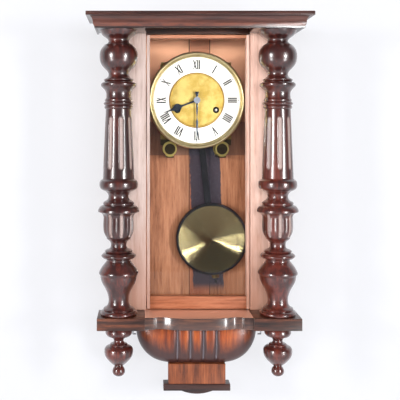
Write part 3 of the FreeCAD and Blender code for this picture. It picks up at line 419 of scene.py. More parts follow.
# %% Steel, lacquer and enamel
steel = plain("bright_steel", tint(140, 142, 146), tint(188, 190, 194), rough=0.28, Metallic=1.0)
collet_steel = plain("collet_steel", tint(112, 118, 130), tint(160, 166, 176), 300.0, 0.3, Metallic=0.15)
winding_steel = plain("winding_steel", tint(150, 150, 150), tint(205, 205, 205), 300.0, 0.3, Metallic=0.3)
# painted reflection at the square, painted shade of the deep hole around it
ground = near_pair(winding_steel, 36.0 * mm, dial_z - 18.0 * mm).step(0.0018, 0.0024)
winding_steel.paint(Base_Color=winding_steel.blend(tint(215, 212, 205), tint(40, 34, 28), ground))
arbor_metal, arbor_colour = brass("centre_arbor_metal", tint(170, 140, 76), tint(212, 182, 110), 0.3)
by_the_axis = 1 - arbor_metal.radius(middle_x, dial_z).step(0.0064, 0.0070)
arbor_metal.paint(Base_Color=arbor_metal.blend(arbor_colour, tint(136, 142, 153), by_the_axis))
arbor_metal.paint(Metallic=1 - 0.85 * by_the_axis)
blued = plain("blued_steel", tint(40, 48, 60), tint(74, 84, 98), rough=0.3, Metallic=0.8)
black = plain("ebonised_wood", tint(20, 20, 24), tint(38, 38, 44), rough=0.25, Coat_Weight=0.6)
enamel = plain("white_enamel", tint(238, 236, 226), tint(250, 249, 244), 30.0, 0.22, Coat_Weight=0.4)
ink = plain("numeral_black", tint(4, 4, 5), tint(12, 12, 14), 200.0, 0.6)

# %% Glass
glass = Finish("door_glass", Roughness=0.03, Metallic=1.0, Coat_Weight=0.0)
glass.shader.inputs["Base Color"].default_value = (0.9, 0.93, 0.92, 1)
clear = glass.node("BsdfTransparent")
slant = 0.04 + 0.96 * glass.node("LayerWeight", out=1, Blend=0.5) ** 5
mirror_like = Shade(glass, glass.shader.outputs[0])
pane = glass.node("MixShader", i0=slant * 0.6, i1=clear, i2=mirror_like)
glass.feed(glass.tree.nodes["Material Output"].inputs["Surface"], pane)
print("finishes:", len(bpy.data.materials))

# %% [markdown]
# ## Two ways of making a piece
#
# Flat boards keep their solid's shape, but a real board has no knife edge: a copy of the node gets
# its corners rounded, and the round catches a thin line of light. Round and carved pieces are
# surfaces worked out with numpy. Such a surface is a grid of points, each a function of two
# parameters, and whole arrays are computed at once.

# %% Boards with rounded edges
def body_of(node):
    return frame["nodes"][node]["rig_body"]


def slot_of(node):
    return next(s["material_slot"] for s in frame["record"]["subparts"] if s["node"] == node)


def settle(piece, finish, node, body=None):
    """Give a finished piece its material and the body of the node it stands for, and look up the node's slot.
    """
    piece.data.materials.clear()
    piece.data.materials.append(finish.material)
    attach(piece, body or body_of(node))
    slot_of(node)


def eased(node, finish, width):
    """A copy of a node with merged points, flat faces joined and corners rounded by the width."""
    mesh = frame["nodes"][node].data.copy()
    work = bmesh.new()
    work.from_mesh(mesh)
    bmesh.ops.remove_doubles(work, verts=work.verts, dist=1e-6)
    bmesh.ops.dissolve_limit(work, angle_limit=math.radians(0.5), verts=work.verts, edges=work.edges)
    bmesh.ops.recalc_face_normals(work, faces=work.faces)
    work.to_mesh(mesh)
    work.free()
    mesh.shade_smooth()
    piece = bpy.data.objects.new(node + "_eased", mesh)
    bpy.context.scene.collection.objects.link(piece)
    rounding = piece.modifiers.new("rounding", "BEVEL")
    rounding.width = width
    rounding.segments = 3
    rounding.limit_method = "ANGLE"
    rounding.angle_limit = math.radians(40)
    rounding.harden_normals = True
    settle(piece, finish, node)
    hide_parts(node)


boards = {
    planks: ["back_plank_left", "back_plank_centre", "back_plank_right"],
    case_wood: ["side_left", "side_right"],
    door_wood: ["door_rail_top", "case_floor", "case_roof"],
    rail_wood: ["door_rail_bottom"],
    face_pair[0]: ["face_stile_left", "door_stile_left"],
    face_pair[1]: ["face_stile_right", "door_stile_right"],
    # the frame's head, a pale board, is given the dark block finish as painted shade under the cornice
    block_wood: ["lower_block_left", "lower_block_right", "face_head"],
    cornice_wood: ["cornice_top", "cornice_front", "cornice_return_left", "cornice_return_right",
                   "upper_block_left", "upper_block_right"],
    pendant_wood: ["pendant_block"],
    platform_wood: ["platform"],
}
for board_finish, names in boards.items():
    for board in names:
        eased(board, board_finish, 0.4 * mm if board.startswith("door") else 0.8 * mm)
print("boards:", sum(len(names) for names in boards.values()))

# %% Surfaces from a grid of points
def surface(name, points, finish, node, wrap=(False, False), replaces=True, crease=32, extra=None, body=None):
    """A piece whose point (i, j) is points[i, j], with a face between each four neighbours."""
    rows, columns = points.shape[:2]
    i, j = np.meshgrid(np.arange(rows - (not wrap[0])), np.arange(columns - (not wrap[1])), indexing="ij")
    down = (i + 1) % rows
    right = (j + 1) % columns
    corners = np.stack([i * columns + j, i * columns + right, down * columns + right, down * columns + j], -1)
    faces = corners.reshape(-1, 4)
    mesh = bpy.data.meshes.new(name)
    mesh.vertices.add(rows * columns)
    mesh.vertices.foreach_set("co", points.astype(np.float32).ravel())
    mesh.loops.add(faces.size)
    mesh.loops.foreach_set("vertex_index", faces.astype(np.int32).ravel())
    mesh.polygons.add(len(faces))
    mesh.polygons.foreach_set("loop_start", np.arange(0, faces.size, 4, dtype=np.int32))
    for label, values in (extra or {}).items():
        mark = mesh.attributes.new(label, "FLOAT", "POINT")
        mark.data.foreach_set("value", values.astype(np.float32).ravel())
    mesh.update(calc_edges=True)
    work = bmesh.new()
    work.from_mesh(mesh)
    bmesh.ops.remove_doubles(work, verts=work.verts, dist=2e-7)
    bmesh.ops.holes_fill(work, edges=[e for e in work.edges if e.is_boundary])
    bmesh.ops.recalc_face_normals(work, faces=work.faces)
    work.to_mesh(mesh)
    work.free()
    mesh.shade_smooth()
    mesh.set_sharp_from_angle(angle=math.radians(crease))
    piece = bpy.data.objects.new(name, mesh)
    bpy.context.scene.collection.objects.link(piece)
    settle(piece, finish, node, body)
    if replaces:
        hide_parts(node)
    return piece


def smooth_line(points, count):
    """Points along a smooth line through the given ones, whose bend fades out at both ends."""
    given = np.array(points, float)
    if len(given) == 2:
        return given[:1] + (given[1:] - given[:1]) * np.linspace(0, 1, count)[:, None]
    gap = np.linalg.norm(np.diff(given, axis=0), axis=1)
    place = np.concatenate([[0], np.cumsum(gap)])
    size = len(given)
    matrix = np.eye(size)
    right = np.zeros_like(given)
    slope = np.diff(given, axis=0) / gap[:, None]
    for n in range(1, size - 1):
        matrix[n, n - 1:n + 2] = gap[n - 1], 2 * (gap[n - 1] + gap[n]), gap[n]
        right[n] = 6 * (slope[n] - slope[n - 1])
    bend = np.linalg.solve(matrix, right)
    t = np.linspace(0, place[-1], count)
    n = np.clip(np.searchsorted(place, t, side="right") - 1, 0, size - 2)
    a = ((place[n + 1] - t) / gap[n])[:, None]
    b = 1 - a
    square = (gap[n] ** 2 / 6)[:, None]
    return a * given[n] + b * given[n + 1] + ((a ** 3 - a) * bend[n] + (b ** 3 - b) * bend[n + 1]) * square


# %% [markdown]
# ## The turned columns
#
# A turner sees a column as a row of beads, coves and fillets, so its outline is a list of short
# runs: two points are a straight fillet, three or more a smooth curve. Spinning the outline gives
# the radius at each height. Eight flutes and eight tulip petals are then carved by taking a depth
# off that radius, which is why the surface is a function of angle and height.

# %% Outlines of the turnings
column_runs = [
    [(0.80, 0.0), (0.88, 0.004), (0.885, 0.010), (0.80, 0.0165)],
    [(0.80, 0.0165), (0.735, 0.0175)],
    [(0.735, 0.0175), (0.755, 0.0215), (0.72, 0.0255)],
    [(0.72, 0.0255), (0.60, 0.0305), (0.52, 0.040), (0.495, 0.054), (0.54, 0.073), (0.63, 0.089),
     (0.745, 0.104), (0.85, 0.120), (0.895, 0.137)],
    [(0.895, 0.137), (0.905, 0.1395)],
    [(0.905, 0.1395), (0.965, 0.147), (0.93, 0.1555)],
    [(0.93, 0.1555), (0.87, 0.163), (0.80, 0.171), (0.71, 0.179), (0.63, 0.186), (0.59, 0.193), (0.62, 0.197)],
    [(0.62, 0.197), (0.74, 0.199)],
    [(0.74, 0.199), (0.845, 0.2085), (0.72, 0.2175)],
    [(0.72, 0.2175), (0.62, 0.219)],
    [(0.62, 0.219), (0.68, 0.224), (0.58, 0.230)],
    [(0.58, 0.230), (0.42, 0.236), (0.385, 0.247), (0.44, 0.259), (0.53, 0.264)],
    [(0.53, 0.264), (0.62, 0.272), (0.72, 0.290), (0.75, 0.314), (0.735, 0.343)],
    [(0.735, 0.343), (0.80, 0.355), (1.005, 0.363)],
    [(1.005, 0.363), (1.01, 0.3675), (0.96, 0.376), (0.87, 0.383), (0.74, 0.387)],
    [(0.74, 0.387), (0.77, 0.392), (0.72, 0.398)],
    [(0.72, 0.398), (0.54, 0.407), (0.50, 0.417), (0.545, 0.427), (0.66, 0.435), (0.80, 0.4395)],
    [(0.80, 0.4395), (0.90, 0.446), (0.94, 0.459), (0.89, 0.472), (0.80, 0.4765)],
    [(0.80, 0.4765), (0.77, 0.480)],
    [(0.77, 0.480), (0.65, 0.685), (0.63, 0.723)],
    [(0.63, 0.723), (0.67, 0.725)],
    [(0.67, 0.725), (0.70, 0.7305), (0.66, 0.736)],
    [(0.66, 0.736), (0.74, 0.743), (0.66, 0.750)],
    [(0.66, 0.750), (0.68, 0.7555), (0.63, 0.761)],
    [(0.63, 0.761), (0.61, 0.775), (0.64, 0.786), (0.72, 0.794), (0.85, 0.8035)],
    [(0.85, 0.8035), (0.87, 0.811), (0.76, 0.8185)],
    [(0.76, 0.8185), (0.66, 0.820)],
    [(0.66, 0.820), (0.73, 0.826), (0.62, 0.832)],
    [(0.62, 0.832), (0.52, 0.839), (0.50, 0.848), (0.56, 0.857), (0.68, 0.866)],
    [(0.68, 0.866), (0.84, 0.880), (0.935, 0.907), (0.87, 0.933), (0.68, 0.950)],
    [(0.68, 0.950), (0.53, 0.957), (0.50, 0.963), (0.56, 0.971), (0.78, 0.983), (0.91, 1.0)],
]
finial_runs = [
    [(0.78, 0.0), (0.88, 0.05), (0.92, 0.12), (0.80, 0.175)],
    [(0.80, 0.175), (0.45, 0.22), (0.34, 0.275), (0.42, 0.325)],
    [(0.42, 0.325), (0.62, 0.350), (0.60, 0.372)],
    [(0.60, 0.372), (0.86, 0.394), (0.97, 0.43), (1.0, 0.49), (0.96, 0.565), (0.82, 0.635), (0.60, 0.705),
     (0.38, 0.76), (0.27, 0.785)],
    [(0.27, 0.785), (0.36, 0.82), (0.44, 0.90), (0.32, 0.965), (0.0, 1.0)],
]


def outline(runs, radius, start, height, step):
    """The whole outline as (radius, z), each run cut into pieces of about the step."""
    lines = []
    for run in runs:
        size = np.array(run) * [radius, abs(height)]
        length = np.linalg.norm(np.diff(size, axis=0), axis=1).sum()
        line = smooth_line(size, max(3, int(length / step)))
        lines.append(line if not lines else line[1:])
    line = np.concatenate(lines)
    return line[:, 0], start + line[:, 1] * np.sign(height)


# %% Columns with flutes and petals
column_foot = -466.2 * mm
column_height = 499.9 * mm
column_radius = 36.1 * mm
carvings = 8
flute_low, flute_high = 0.520, 0.688
petal_low, petal_high = 0.282, 0.352
swelling = 1.3 * mm


def column(name, x, y, turn):
    """Point = (x + r sin a, y - r cos a, z), where r is the outline less the depth of the carving."""
    radius, z = outline(column_runs, column_radius, column_foot, column_height, 1.25 * mm)
    angle = np.linspace(0, 2 * np.pi, 176, endpoint=False)
    near = (angle * carvings / (2 * np.pi) + 0.5) % 1 - 0.5
    reach = near[None, :] * 2 * np.pi / carvings * radius[:, None]
    share = ((z - column_foot) / column_height)[:, None]
    over = np.maximum(flute_low - share, share - flute_high).clip(0) * column_height
    flute = np.sqrt(np.maximum((6.0 * mm) ** 2 - reach ** 2 - over ** 2, 0)) - 4.1 * mm
    beyond = np.maximum(petal_low - share, share - petal_high).clip(0) * column_height
    petal = np.sqrt(np.maximum((3.2 * mm) ** 2 - reach ** 2 - (0.8 * beyond) ** 2, 0)) - 0.4 * mm
    flute = flute.clip(0)
    petal = petal.clip(0)
    swell = swelling * np.cos(near[None, :] * np.pi) * np.clip((share - 0.272) / 0.02, 0, 1)
    swell = swell * (share < petal_high)
    r = radius[:, None] - flute - petal + swell - swelling * (swell > 0)
    carved = np.clip(flute / (1.5 * mm) - 0.15, 0, 1) + np.clip(petal / (1.8 * mm) - 0.1, 0, 1)
    a = angle[None, :] + turn
    points = np.stack([x + r * np.sin(a), y - r * np.cos(a), np.broadcast_to(z[:, None], r.shape)], -1)
    marks = {"hollow": carved}
    return surface(name + "_carved", points, turned_wood, name, (False, True), extra=marks, crease=50)


column_x = 140 * mm
column_y = -171.0 * mm
left_column = column("column_left", -column_x, column_y, math.radians(12))
column("column_right", column_x, column_y, 0.0)
print("faces of a column:", len(left_column.data.polygons))

# %% Finials
base_foot = -487.5 * mm
finial_radius, finial_z = outline(finial_runs, 25.3 * mm, base_foot, -87.5 * mm, 1.0 * mm)
angle = np.linspace(0, 2 * np.pi, 120, endpoint=False)
for side, name in ((-1, "finial_left"), (1, "finial_right")):
    spin_x = side * column_x + finial_radius[:, None] * np.sin(angle)
    spin_y = column_y - finial_radius[:, None] * np.cos(angle)
    spin = np.stack(np.broadcast_arrays(spin_x, spin_y, finial_z[:, None]), -1)
    no_groove = {"hollow": np.zeros(spin.shape[:2])}
    surface(name + "_turned", spin, turned_wood, name, (False, True), extra=no_groove)

# %% [markdown]
# ## The carved apron
#
# The apron swells forward like a cushion between its top and its foot. Four narrow grooves part
# three upright reeds, and each end is one broad lobe. Its outline is straight for a little way
# down and then turns in along a quarter of an ellipse. The front is a height over the flat plane
# of the board, so the grid runs sideways and downwards.

# %% Apron
apron_wood, apron_colour = wood("apron_mahogany", tint(76, 28, 10), tint(132, 56, 14), tint(180, 90, 26),
                                figure=34.0, seed=0.71, sheen=0.4, coat=0.3)
# painted shade on the apron, where its mark says: toward the foot, beside the grooves, at the outer lobes and
# under the board
apron_painted_shade = apron_wood.blend(apron_colour, tint(52, 34, 34), apron_wood.mark("hollow"))
# a pale line painted along each groove's bottom
apron_wood.paint(Base_Color=apron_wood.blend(apron_painted_shade, tint(150, 144, 150), apron_wood.mark("dust")))
apron_back = -120 * mm
apron_height = 75 * mm
outer_groove, inner_groove = 35.1, 11.7


def apron():
    """Front y = back plane - 29.7 mm * vertical swell * cushion across, less a dip at each groove."""
    down = np.linspace(0, 1, 110)[:, None]
    z = base_foot - apron_height * down
    below = np.clip((down * 75 - 14) / 61, 0, 1)
    half = (54.8 + 54.7 * np.sqrt(np.maximum(1 - below ** 2, 0))) * mm
    x = half * np.sin(np.linspace(-np.pi / 2, np.pi / 2, 420))[None, :]
    high = 1 - 0.10 * np.clip((0.3 - down) / 0.3, 0, 1) ** 2
    low = np.sqrt(1 - (np.clip(down - 0.3, 0, 1) / 0.75) ** 2.6)
    outer = np.clip((np.abs(x) - outer_groove * mm) / np.maximum(half - outer_groove * mm, 1e-6), 0, 1)
    cushion = np.sqrt(np.maximum(1 - outer ** 2.6, 0))
    grooves = np.array([-outer_groove, -inner_groove, inner_groove, outer_groove])[:, None, None] * mm
    gap = np.min(np.abs(x[None] - grooves), axis=0)
    dip = 4.0 * np.exp(-(gap / (2.0 * mm)) ** 2) + 2.6 * np.clip(1 - gap / (9 * mm), 0, 1) ** 2
    depth = np.clip(29.7 * high * low * cushion - dip * low, 1.5, 29.7) * mm
    front = np.stack(np.broadcast_arrays(x, apron_back - depth, z), -1)
    back = np.stack(np.broadcast_arrays(x, apron_back + 0 * depth, z), -1)
    ring = np.concatenate([front, back[:, ::-1]], 1)
    # painted shade: darker toward the foot, beside each groove, toward the outer lobes and in a band at the
    # top under the board
    dark = np.clip((down - 0.34) / 0.42, 0, 1) ** 0.9 + 0.9 * np.clip(1 - (gap - 1.5 * mm) / (5.5 * mm), 0, 1)
    dark = dark + np.clip(1.35 * outer - 0.35, 0, 1) ** 1.5 + np.clip(1 - down / 0.10, 0, 1)
    dark = np.clip(dark, 0, 1) * 0.94
    # a pale line along each groove's bottom
    pale = np.exp(-(gap / (1.3 * mm)) ** 2) * np.clip((down - 0.08) / 0.1, 0, 1)
    pale = pale * np.clip((0.93 - down) / 0.08, 0, 1)
    nothing = 0 * dark
    marks = {"hollow": np.concatenate([dark, nothing], 1), "dust": np.concatenate([0.8 * pale, nothing], 1)}
    return surface("apron_carved", ring, apron_wood, "apron", (False, True), extra=marks)


print("faces of the apron:", len(apron().data.polygons))

# %% [markdown]
# The board between the base blocks is waved in plan: it bows out in the middle, dips on both
# sides and comes out again at the ends. A bandsaw cuts such a front in one pass. Because the wave
# turns the varnish through many angles, each lamp shows as two or three upright bright bands.

# %% Waved base board
wave = [(0.0, 1.0), (0.22, 0.97), (0.40, 0.70), (0.62, -0.32), (0.72, -0.62), (0.80, -0.42), (0.88, 0.05),
        (1.0, 0.15)]
board_low, board_high, board_round = -487.5, -466.5, 1.2


def waved_board():
    """Front y = -193 mm - 7 mm * wave(|x| / 94 mm); top and bottom edges rounded by 1.2 mm."""
    line = smooth_line([(-share, reach) for share, reach in wave[:0:-1]] + wave, 320)
    x = line[:, 0] * 94 * mm
    y = (-193 - 7 * line[:, 1]) * mm
    turn = np.linspace(0, np.pi / 2, 6)
    inset = np.concatenate([board_round * (1 - np.sin(turn)), board_round * (1 - np.cos(turn))]) * mm
    rise = np.concatenate([board_low + board_round * (1 - np.cos(turn)),
                           board_high - board_round * (1 - np.sin(turn))]) * mm
    front = np.stack(np.broadcast_arrays(x[None, :], y[None, :] + inset[:, None], rise[:, None]), -1)
    back = np.stack(np.broadcast_arrays(x[None, :], np.array([[-134 * mm], [-134 * mm]]),
                                        np.array([[board_high * mm], [board_low * mm]])), -1)
    ring = np.concatenate([front, back])
    return surface("waved_board", ring, board_wood, "serpentine_board", (True, False))


print("faces of the waved board:", len(waved_board().data.polygons))

# %% [markdown]
# ## Dial, bezel and hands
#
# The bezel is spun: its section is an ogee that rises from the enamel, rolls over and falls to the
# case. The numerals are strokes, thick ones and thin ones with fine serifs, set upright along each
# radius. They are drawn as a few quads per stroke and printed on the ring, a hair above it.

# %% Things spun about an axis that points at the viewer
def spun(name, runs, x, z, finish, node, around, **more):
    """Point = (x + r sin a, y, z + r cos a) for each (r, y) of the outline, given in millimetres."""
    line = [smooth_line(np.array(run, float) * mm, len(run) * 6) for run in runs]
    line = np.concatenate([line[0]] + [part[1:] for part in line[1:]])
    a = np.linspace(0, 2 * np.pi, around, endpoint=False)[None, :]
    r, y = line[:, :1], line[:, 1:]
    points = np.stack(np.broadcast_arrays(x + r * np.sin(a), y, z + r * np.cos(a)), -1)
    return surface(name, points, finish, node, (more.pop("ring", False), True), **more)


spun("bezel_spun", [[(80.0, -98.0), (80.1, -99.2)], [(80.1, -99.2), (81.4, -100.6), (83.0, -100.6)],
                    [(83.0, -100.6), (84.2, -102.6), (86.2, -103.9), (88.6, -103.4), (90.0, -101.0),
                     (90.3, -98.5)],
                    [(90.3, -98.5), (90.3, -93.0)], [(90.3, -93.0), (81.4, -93.0)],
                    [(81.4, -93.0), (81.4, -98.0)], [(81.4, -98.0), (80.0, -98.0)]],
     middle_x, dial_z, bezel_brass, "bezel", around=240)
spun("bob_shell", [[(0, -31.5), (60, -31.5), (67.0, -31.3)], [(67.0, -31.3), (69.6, -29.8), (70.3, -27.0)],
                   [(70.3, -27.0), (70.3, -19.0)], [(70.3, -19.0), (69.6, -16.0), (67.0, -14.6)],
                   [(67.0, -14.6), (0, -14.5)]], bob_x, bob_z, black, "bob", around=200)
spun("bob_lens", [[(0, -34.5), (20, -34.15), (45, -32.95), (62, -31.9), (64.6, -31.6)],
                  [(64.6, -31.6), (65, -31.5)], [(65, -31.5), (0, -31.5)]],
     bob_x, bob_z, bob_brass, "bob_face", around=200)

# %% Numerals
def numeral(letters):
    """Strokes of a numeral as (x0, y0, x1, y1, width) in shares of its height, its middle at x = 0."""
    thick, thin, fine = 0.14, 0.09, 0.06
    foot_serif, head_serif = 0.012, 0.988
    strokes = []
    cursor = 0.0
    for letter in letters:
        if letter == "I":
            strokes += [(cursor + 0.065, 0, cursor + 0.065, 1, thick),
                        (cursor, foot_serif, cursor + 0.13, foot_serif, fine),
                        (cursor, head_serif, cursor + 0.13, head_serif, fine)]
            cursor += 0.205
        else:
            wide = 0.40
            foot = cursor + wide / 2 if letter == "V" else cursor + wide - 0.05
            other = foot if letter == "V" else cursor + 0.05
            strokes += [(cursor + 0.05, 1, foot, 0, thick), (cursor + wide - 0.05, 1, other, 0, thin),
                        (cursor - 0.01, head_serif, cursor + 0.12, head_serif, fine),
                        (cursor + wide - 0.11, head_serif, cursor + wide + 0.01, head_serif, fine)]
            if letter == "X":
                strokes += [(cursor - 0.01, foot_serif, cursor + 0.12, foot_serif, fine),
                            (cursor + wide - 0.11, foot_serif, cursor + wide + 0.01, foot_serif, fine)]
            cursor += wide + 0.05
    strokes = np.array(strokes)
    strokes[:, [0, 2]] -= (cursor - 0.05) / 2
    return strokes


def stroke_quads(strokes):
    """Four corners for each stroke: its two ends, each moved half its width to either side."""
    start, end, width = strokes[:, :2], strokes[:, 2:4], strokes[:, 4:]
    along = end - start
    flat = np.abs(along[:, 1:]) < 1e-6
    side = np.where(flat, np.array([[0.0, 1.0]]), np.array([[1.0, 0.0]])) * width / 2
    return np.stack([start - side, end - side, end + side, start + side], 1)


numeral_height = 16.6 * mm
numeral_foot = 57.8 * mm
numeral_y = -98.12 * mm
dot_reach, dot_size = 77.4 * mm, 0.8 * mm
quads = []
for hour, letters in enumerate(["XII", "I", "II", "III", "IIII", "V", "VI", "VII", "VIII", "IX", "X", "XI"]):
    theta = math.radians(30 * hour)
    flat = stroke_quads(numeral(letters)) * numeral_height
    u, v = flat[..., 0], flat[..., 1] + numeral_foot
    quads.append(np.stack([middle_x + v * math.sin(theta) + u * math.cos(theta), np.full_like(u, numeral_y),
                           dial_z + v * math.cos(theta) - u * math.sin(theta)], -1))
    spot = np.linspace(0, 2 * np.pi, 8, endpoint=False)
    dot_x = middle_x + dot_reach * math.sin(theta) + dot_size * np.cos(spot)
    dot_z = dial_z + dot_reach * math.cos(theta) + dot_size * np.sin(spot)
    dot = np.stack([dot_x, np.full(8, numeral_y), dot_z], -1)
    quads.append(np.stack([dot[[0, 1, 2, 3]], dot[[3, 4, 5, 0]], dot[[5, 6, 7, 0]]]))
quads = np.concatenate(quads)
numeral_mesh = bpy.data.meshes.new("dial_numerals")
numeral_mesh.from_pydata(quads.reshape(-1, 3).tolist(), [], np.arange(len(quads) * 4).reshape(-1, 4).tolist())
numerals = bpy.data.objects.new("dial_numerals", numeral_mesh)
bpy.context.scene.collection.objects.link(numerals)
print_depth = numerals.modifiers.new("print_depth", "SOLIDIFY")
print_depth.thickness = 0.1 * mm
print_depth.offset = -1
settle(numerals, ink, "dial_ring")
print("numeral strokes:", len(quads))

# %% [markdown]
# A hand is a thin blade: its half width is a smooth line along its length, and its face is crowned
# from edge to edge so that it shows a bright and a dark side. The hour hand ends in a spade, and
# the minute hand is slim, with a small swelling and a short tail.

# %% Hands
def blade(name, profile, length, angle, y, thick, node):
    """Point = axis place s plus t times the half width w(s), raised by thick * (1 - half of t squared)."""
    line = smooth_line(profile, 90) * length
    s, w = line[:, 0], np.maximum(line[:, 1], 0.05 * mm)
    t = np.linspace(-1, 1, 9)
    along = np.repeat(s[:, None], 9, 1)
    crown = np.repeat(y - thick * (1 - 0.5 * t ** 2)[None], len(s), 0)
    top = np.stack([along, w[:, None] * t, crown], -1)
    low = np.stack([along, w[:, None] * t[::-1], np.full((len(s), 9), y)], -1)
    local = np.concatenate([top, low], 1)
    theta = math.radians(angle)
    x = middle_x + local[..., 0] * math.sin(theta) + local[..., 1] * math.cos(theta)
    z = dial_z + local[..., 0] * math.cos(theta) - local[..., 1] * math.sin(theta)
    points = np.stack([x, local[..., 2], z], -1)
    return surface(name, points, blued, node, (False, True), replaces=False, crease=60)


hour_line = [(0.0, 0.030), (0.20, 0.024), (0.40, 0.022), (0.46, 0.034), (0.50, 0.075), (0.555, 0.108),
             (0.62, 0.098), (0.70, 0.052), (0.78, 0.022), (0.88, 0.014), (1.0, 0.004)]
minute_line = [(0.0, 0.018), (0.30, 0.016), (0.46, 0.017), (0.50, 0.028), (0.54, 0.026), (0.66, 0.018),
               (0.85, 0.010), (1.0, 0.004)]
tail_line = [(0.0, 0.024), (0.10, 0.026), (0.16, 0.040), (0.20, 0.046)]
hour_length, hour_back, hour_angle = 66.5 * mm, -101.05 * mm, 249
minute_length, minute_back, minute_angle = 79.5 * mm, -103.65 * mm, 180
hand_thick = 0.75 * mm
hour_blade = blade("hour_blade", hour_line, hour_length, hour_angle, hour_back, hand_thick, "hour_hand")
minute_blade = blade("minute_blade", minute_line, minute_length, minute_angle, minute_back, hand_thick,
                     "minute_hand")
blade("minute_tail", tail_line, minute_length, 0, minute_back, hand_thick, "minute_hand")
spun("hour_hub", [[(4.2, -101.0), (6.0, -101.0)], [(6.0, -101.0), (6.0, -101.6)],
                  [(6.0, -101.6), (5.6, -101.8), (4.2, -101.8)]], middle_x, dial_z, blued, "hour_hand",
     around=60, replaces=False, ring=True)
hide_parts("hour_hand")
spun("minute_hub", [[(2.4, -103.6), (6.0, -103.6)], [(6.0, -103.6), (6.0, -104.2)],
                    [(6.0, -104.2), (5.6, -104.4), (2.4, -104.4)]], middle_x, dial_z, blued, "minute_hand",
     around=60, replaces=False, ring=True)
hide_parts("minute_hand")
spun("hand_collet", [[(0, -107.4), (1.4, -107.3), (1.6, -106.6)], [(1.6, -106.6), (2.2, -106.4)],
                     [(2.2, -106.4), (4.6, -106.0), (5.9, -104.9), (6.0, -104.4)],
                     [(6.0, -104.4), (0, -104.4)]], middle_x, dial_z, collet_steel, "minute_hand",
     around=60, replaces=False)

# %% [markdown]
# ## What keeps its solid's shape
#
# Plates, wheels, barrels, arbors and brackets already have their true shape, so they only get a
# finish. Each node's one material slot is set.

# %% Finishes on the nodes that stay
stays = {
    plate_brass: ["front_plate", "back_plate", "suspension_cock", "movement_brackets", "pillars"],
    arbor_metal: ["centre_arbor"],
    wheel_brass: ["third_wheel", "escape_wheel", "going_barrel", "strike_barrel", "minute_wheel",
                  "hour_wheel", "rating_nut"],
    centre_brass: ["dial_centre"],
    steel: ["hanger_plate", "door_pivot_pins", "wire_hooks", "anchor", "hammer", "bell"],
    winding_steel: ["going_winding_arbor", "strike_winding_arbor"],
    black: ["pendulum_rod"],
    enamel: ["dial_ring"],
    glass: ["door_glass"],
}
for kept_finish, names in stays.items():
    for name in names:
        node = frame["nodes"][name]
        node.data.materials.clear()
        node.data.materials.append(kept_finish.material)
print("kept:", sum(len(names) for names in stays.values()))

# %% [markdown]
# ## Wall, floor, lamps and camera
#
# The clock hangs on a white wall. The wall is drawn from its front only, so that the clock's back
# can be looked at too. A tall softbox with a short, brighter core stands to the left and one to the
# right of the camera: they draw the pair of white bars down every turning. A broad lamp in front
# isn't seen in reflections, and a small one low at each side is seen only in reflections, where it
# draws bright bands on the waved board. The white of the wall comes mostly from a glow that only
# the camera and mirrors see, and that adds no light to the clock.

# %% Wall and floor
def stage_plane(name, corners, finish):
    mesh = bpy.data.meshes.new(name)
    mesh.from_pydata(corners, [], [(0, 1, 2, 3)])
    plane = bpy.data.objects.new(name, mesh)
    bpy.context.scene.collection.objects.link(plane)
    mesh.materials.append(finish.material)


def backdrop(name, one_sided):
    finish = Finish(name, Roughness=0.9)
    finish.shader.inputs["Base Color"].default_value = (0.5, 0.51, 0.56, 1)
    ray = finish.node("LightPath")
    seen = finish.node("LightPath", out=3)
    glow = finish.node("Emission", Color=(1, 1, 1, 1), Strength=1.0)
    share = (ray + seen).math("MINIMUM", 1.0) * 0.6
    look = finish.node("MixShader", i0=share, i1=Shade(finish, finish.shader.outputs[0]), i2=glow)
    if one_sided:
        behind = finish.node("NewGeometry", out=6)
        look = finish.node("MixShader", i0=behind, i1=look, i2=finish.node("BsdfTransparent"))
    finish.feed(finish.tree.nodes["Material Output"].inputs["Surface"], look)
    return finish


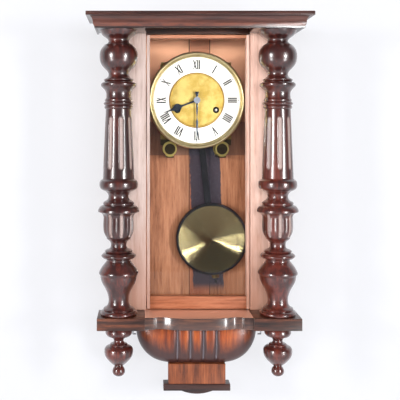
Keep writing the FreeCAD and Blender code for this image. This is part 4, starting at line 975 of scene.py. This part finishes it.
wall_corners = [(-4, 0.002, -1.1), (4, 0.002, -1.1), (4, 0.002, 3), (-4, 0.002, 3)]
floor_corners = [(-4, -4, -1.1), (4, -4, -1.1), (4, 4, -1.1), (-4, 4, -1.1)]
stage_plane("wall", wall_corners, backdrop("wall_white", True))
stage_plane("floor", floor_corners, backdrop("floor_pale", False))

# %% Lamps and world
def softbox(name, place, target, width, height, power):
    lamp = bpy.data.lights.new(name, "AREA")
    lamp.shape = "RECTANGLE"
    lamp.size, lamp.size_y, lamp.energy = width, height, power
    holder = bpy.data.objects.new(name, lamp)
    bpy.context.scene.collection.objects.link(holder)
    holder.location = place
    aim = np.array(target) - np.array(place)
    turn = math.atan2(-aim[0], aim[1])
    tip = math.atan2(aim[2], math.hypot(aim[0], aim[1]))
    holder.rotation_euler = (math.pi / 2 + tip, 0, turn)
    holder.visible_camera = False
    return holder


left_x, right_x = -1.70, 1.36
aim_point = (0, -0.15, -0.2)
softbox("lamp_left", (left_x, -1.80, -0.20), aim_point, 0.22, 1.3, 20)
softbox("lamp_right", (right_x, -1.80, -0.20), aim_point, 0.22, 1.3, 17)
softbox("lamp_left_core", (left_x, -1.81, 0.08), aim_point, 0.22, 0.25, 22)
softbox("lamp_right_core", (right_x, -1.81, -0.08), aim_point, 0.22, 0.25, 19)
fill = softbox("lamp_front", (0.0, -2.1, 0.02), (0, -0.15, -0.1), 1.3, 0.3, 32)
fill.visible_glossy = False
for side, place_x in (("left", left_x), ("right", right_x)):
    low_lamp = softbox("lamp_low_" + side, (place_x, -1.79, -0.95), (0, -0.15, -0.5), 0.3, 0.34, 8)
    low_lamp.visible_diffuse = False
world = bpy.data.worlds.new("studio")
bpy.context.scene.world = world
world.use_nodes = True
world.node_tree.nodes["Background"].inputs["Color"].default_value = (0.93, 0.95, 1.0, 1)
world.node_tree.nodes["Background"].inputs["Strength"].default_value = 0.2

# %% Camera
eye = bpy.data.cameras.new("camera")
eye.sensor_width = 36
eye.lens = 68.0
eye.shift_x, eye.shift_y = 0.15, -0.1625
eye.clip_end = 20
camera = bpy.data.objects.new("camera", eye)
bpy.context.scene.collection.objects.link(camera)
camera.location = (-0.1025, -1.502, -0.150)
camera.rotation_euler = (math.pi / 2, 0, 0)
bpy.context.scene.camera = camera
bpy.context.scene.view_settings.view_transform = "Standard"
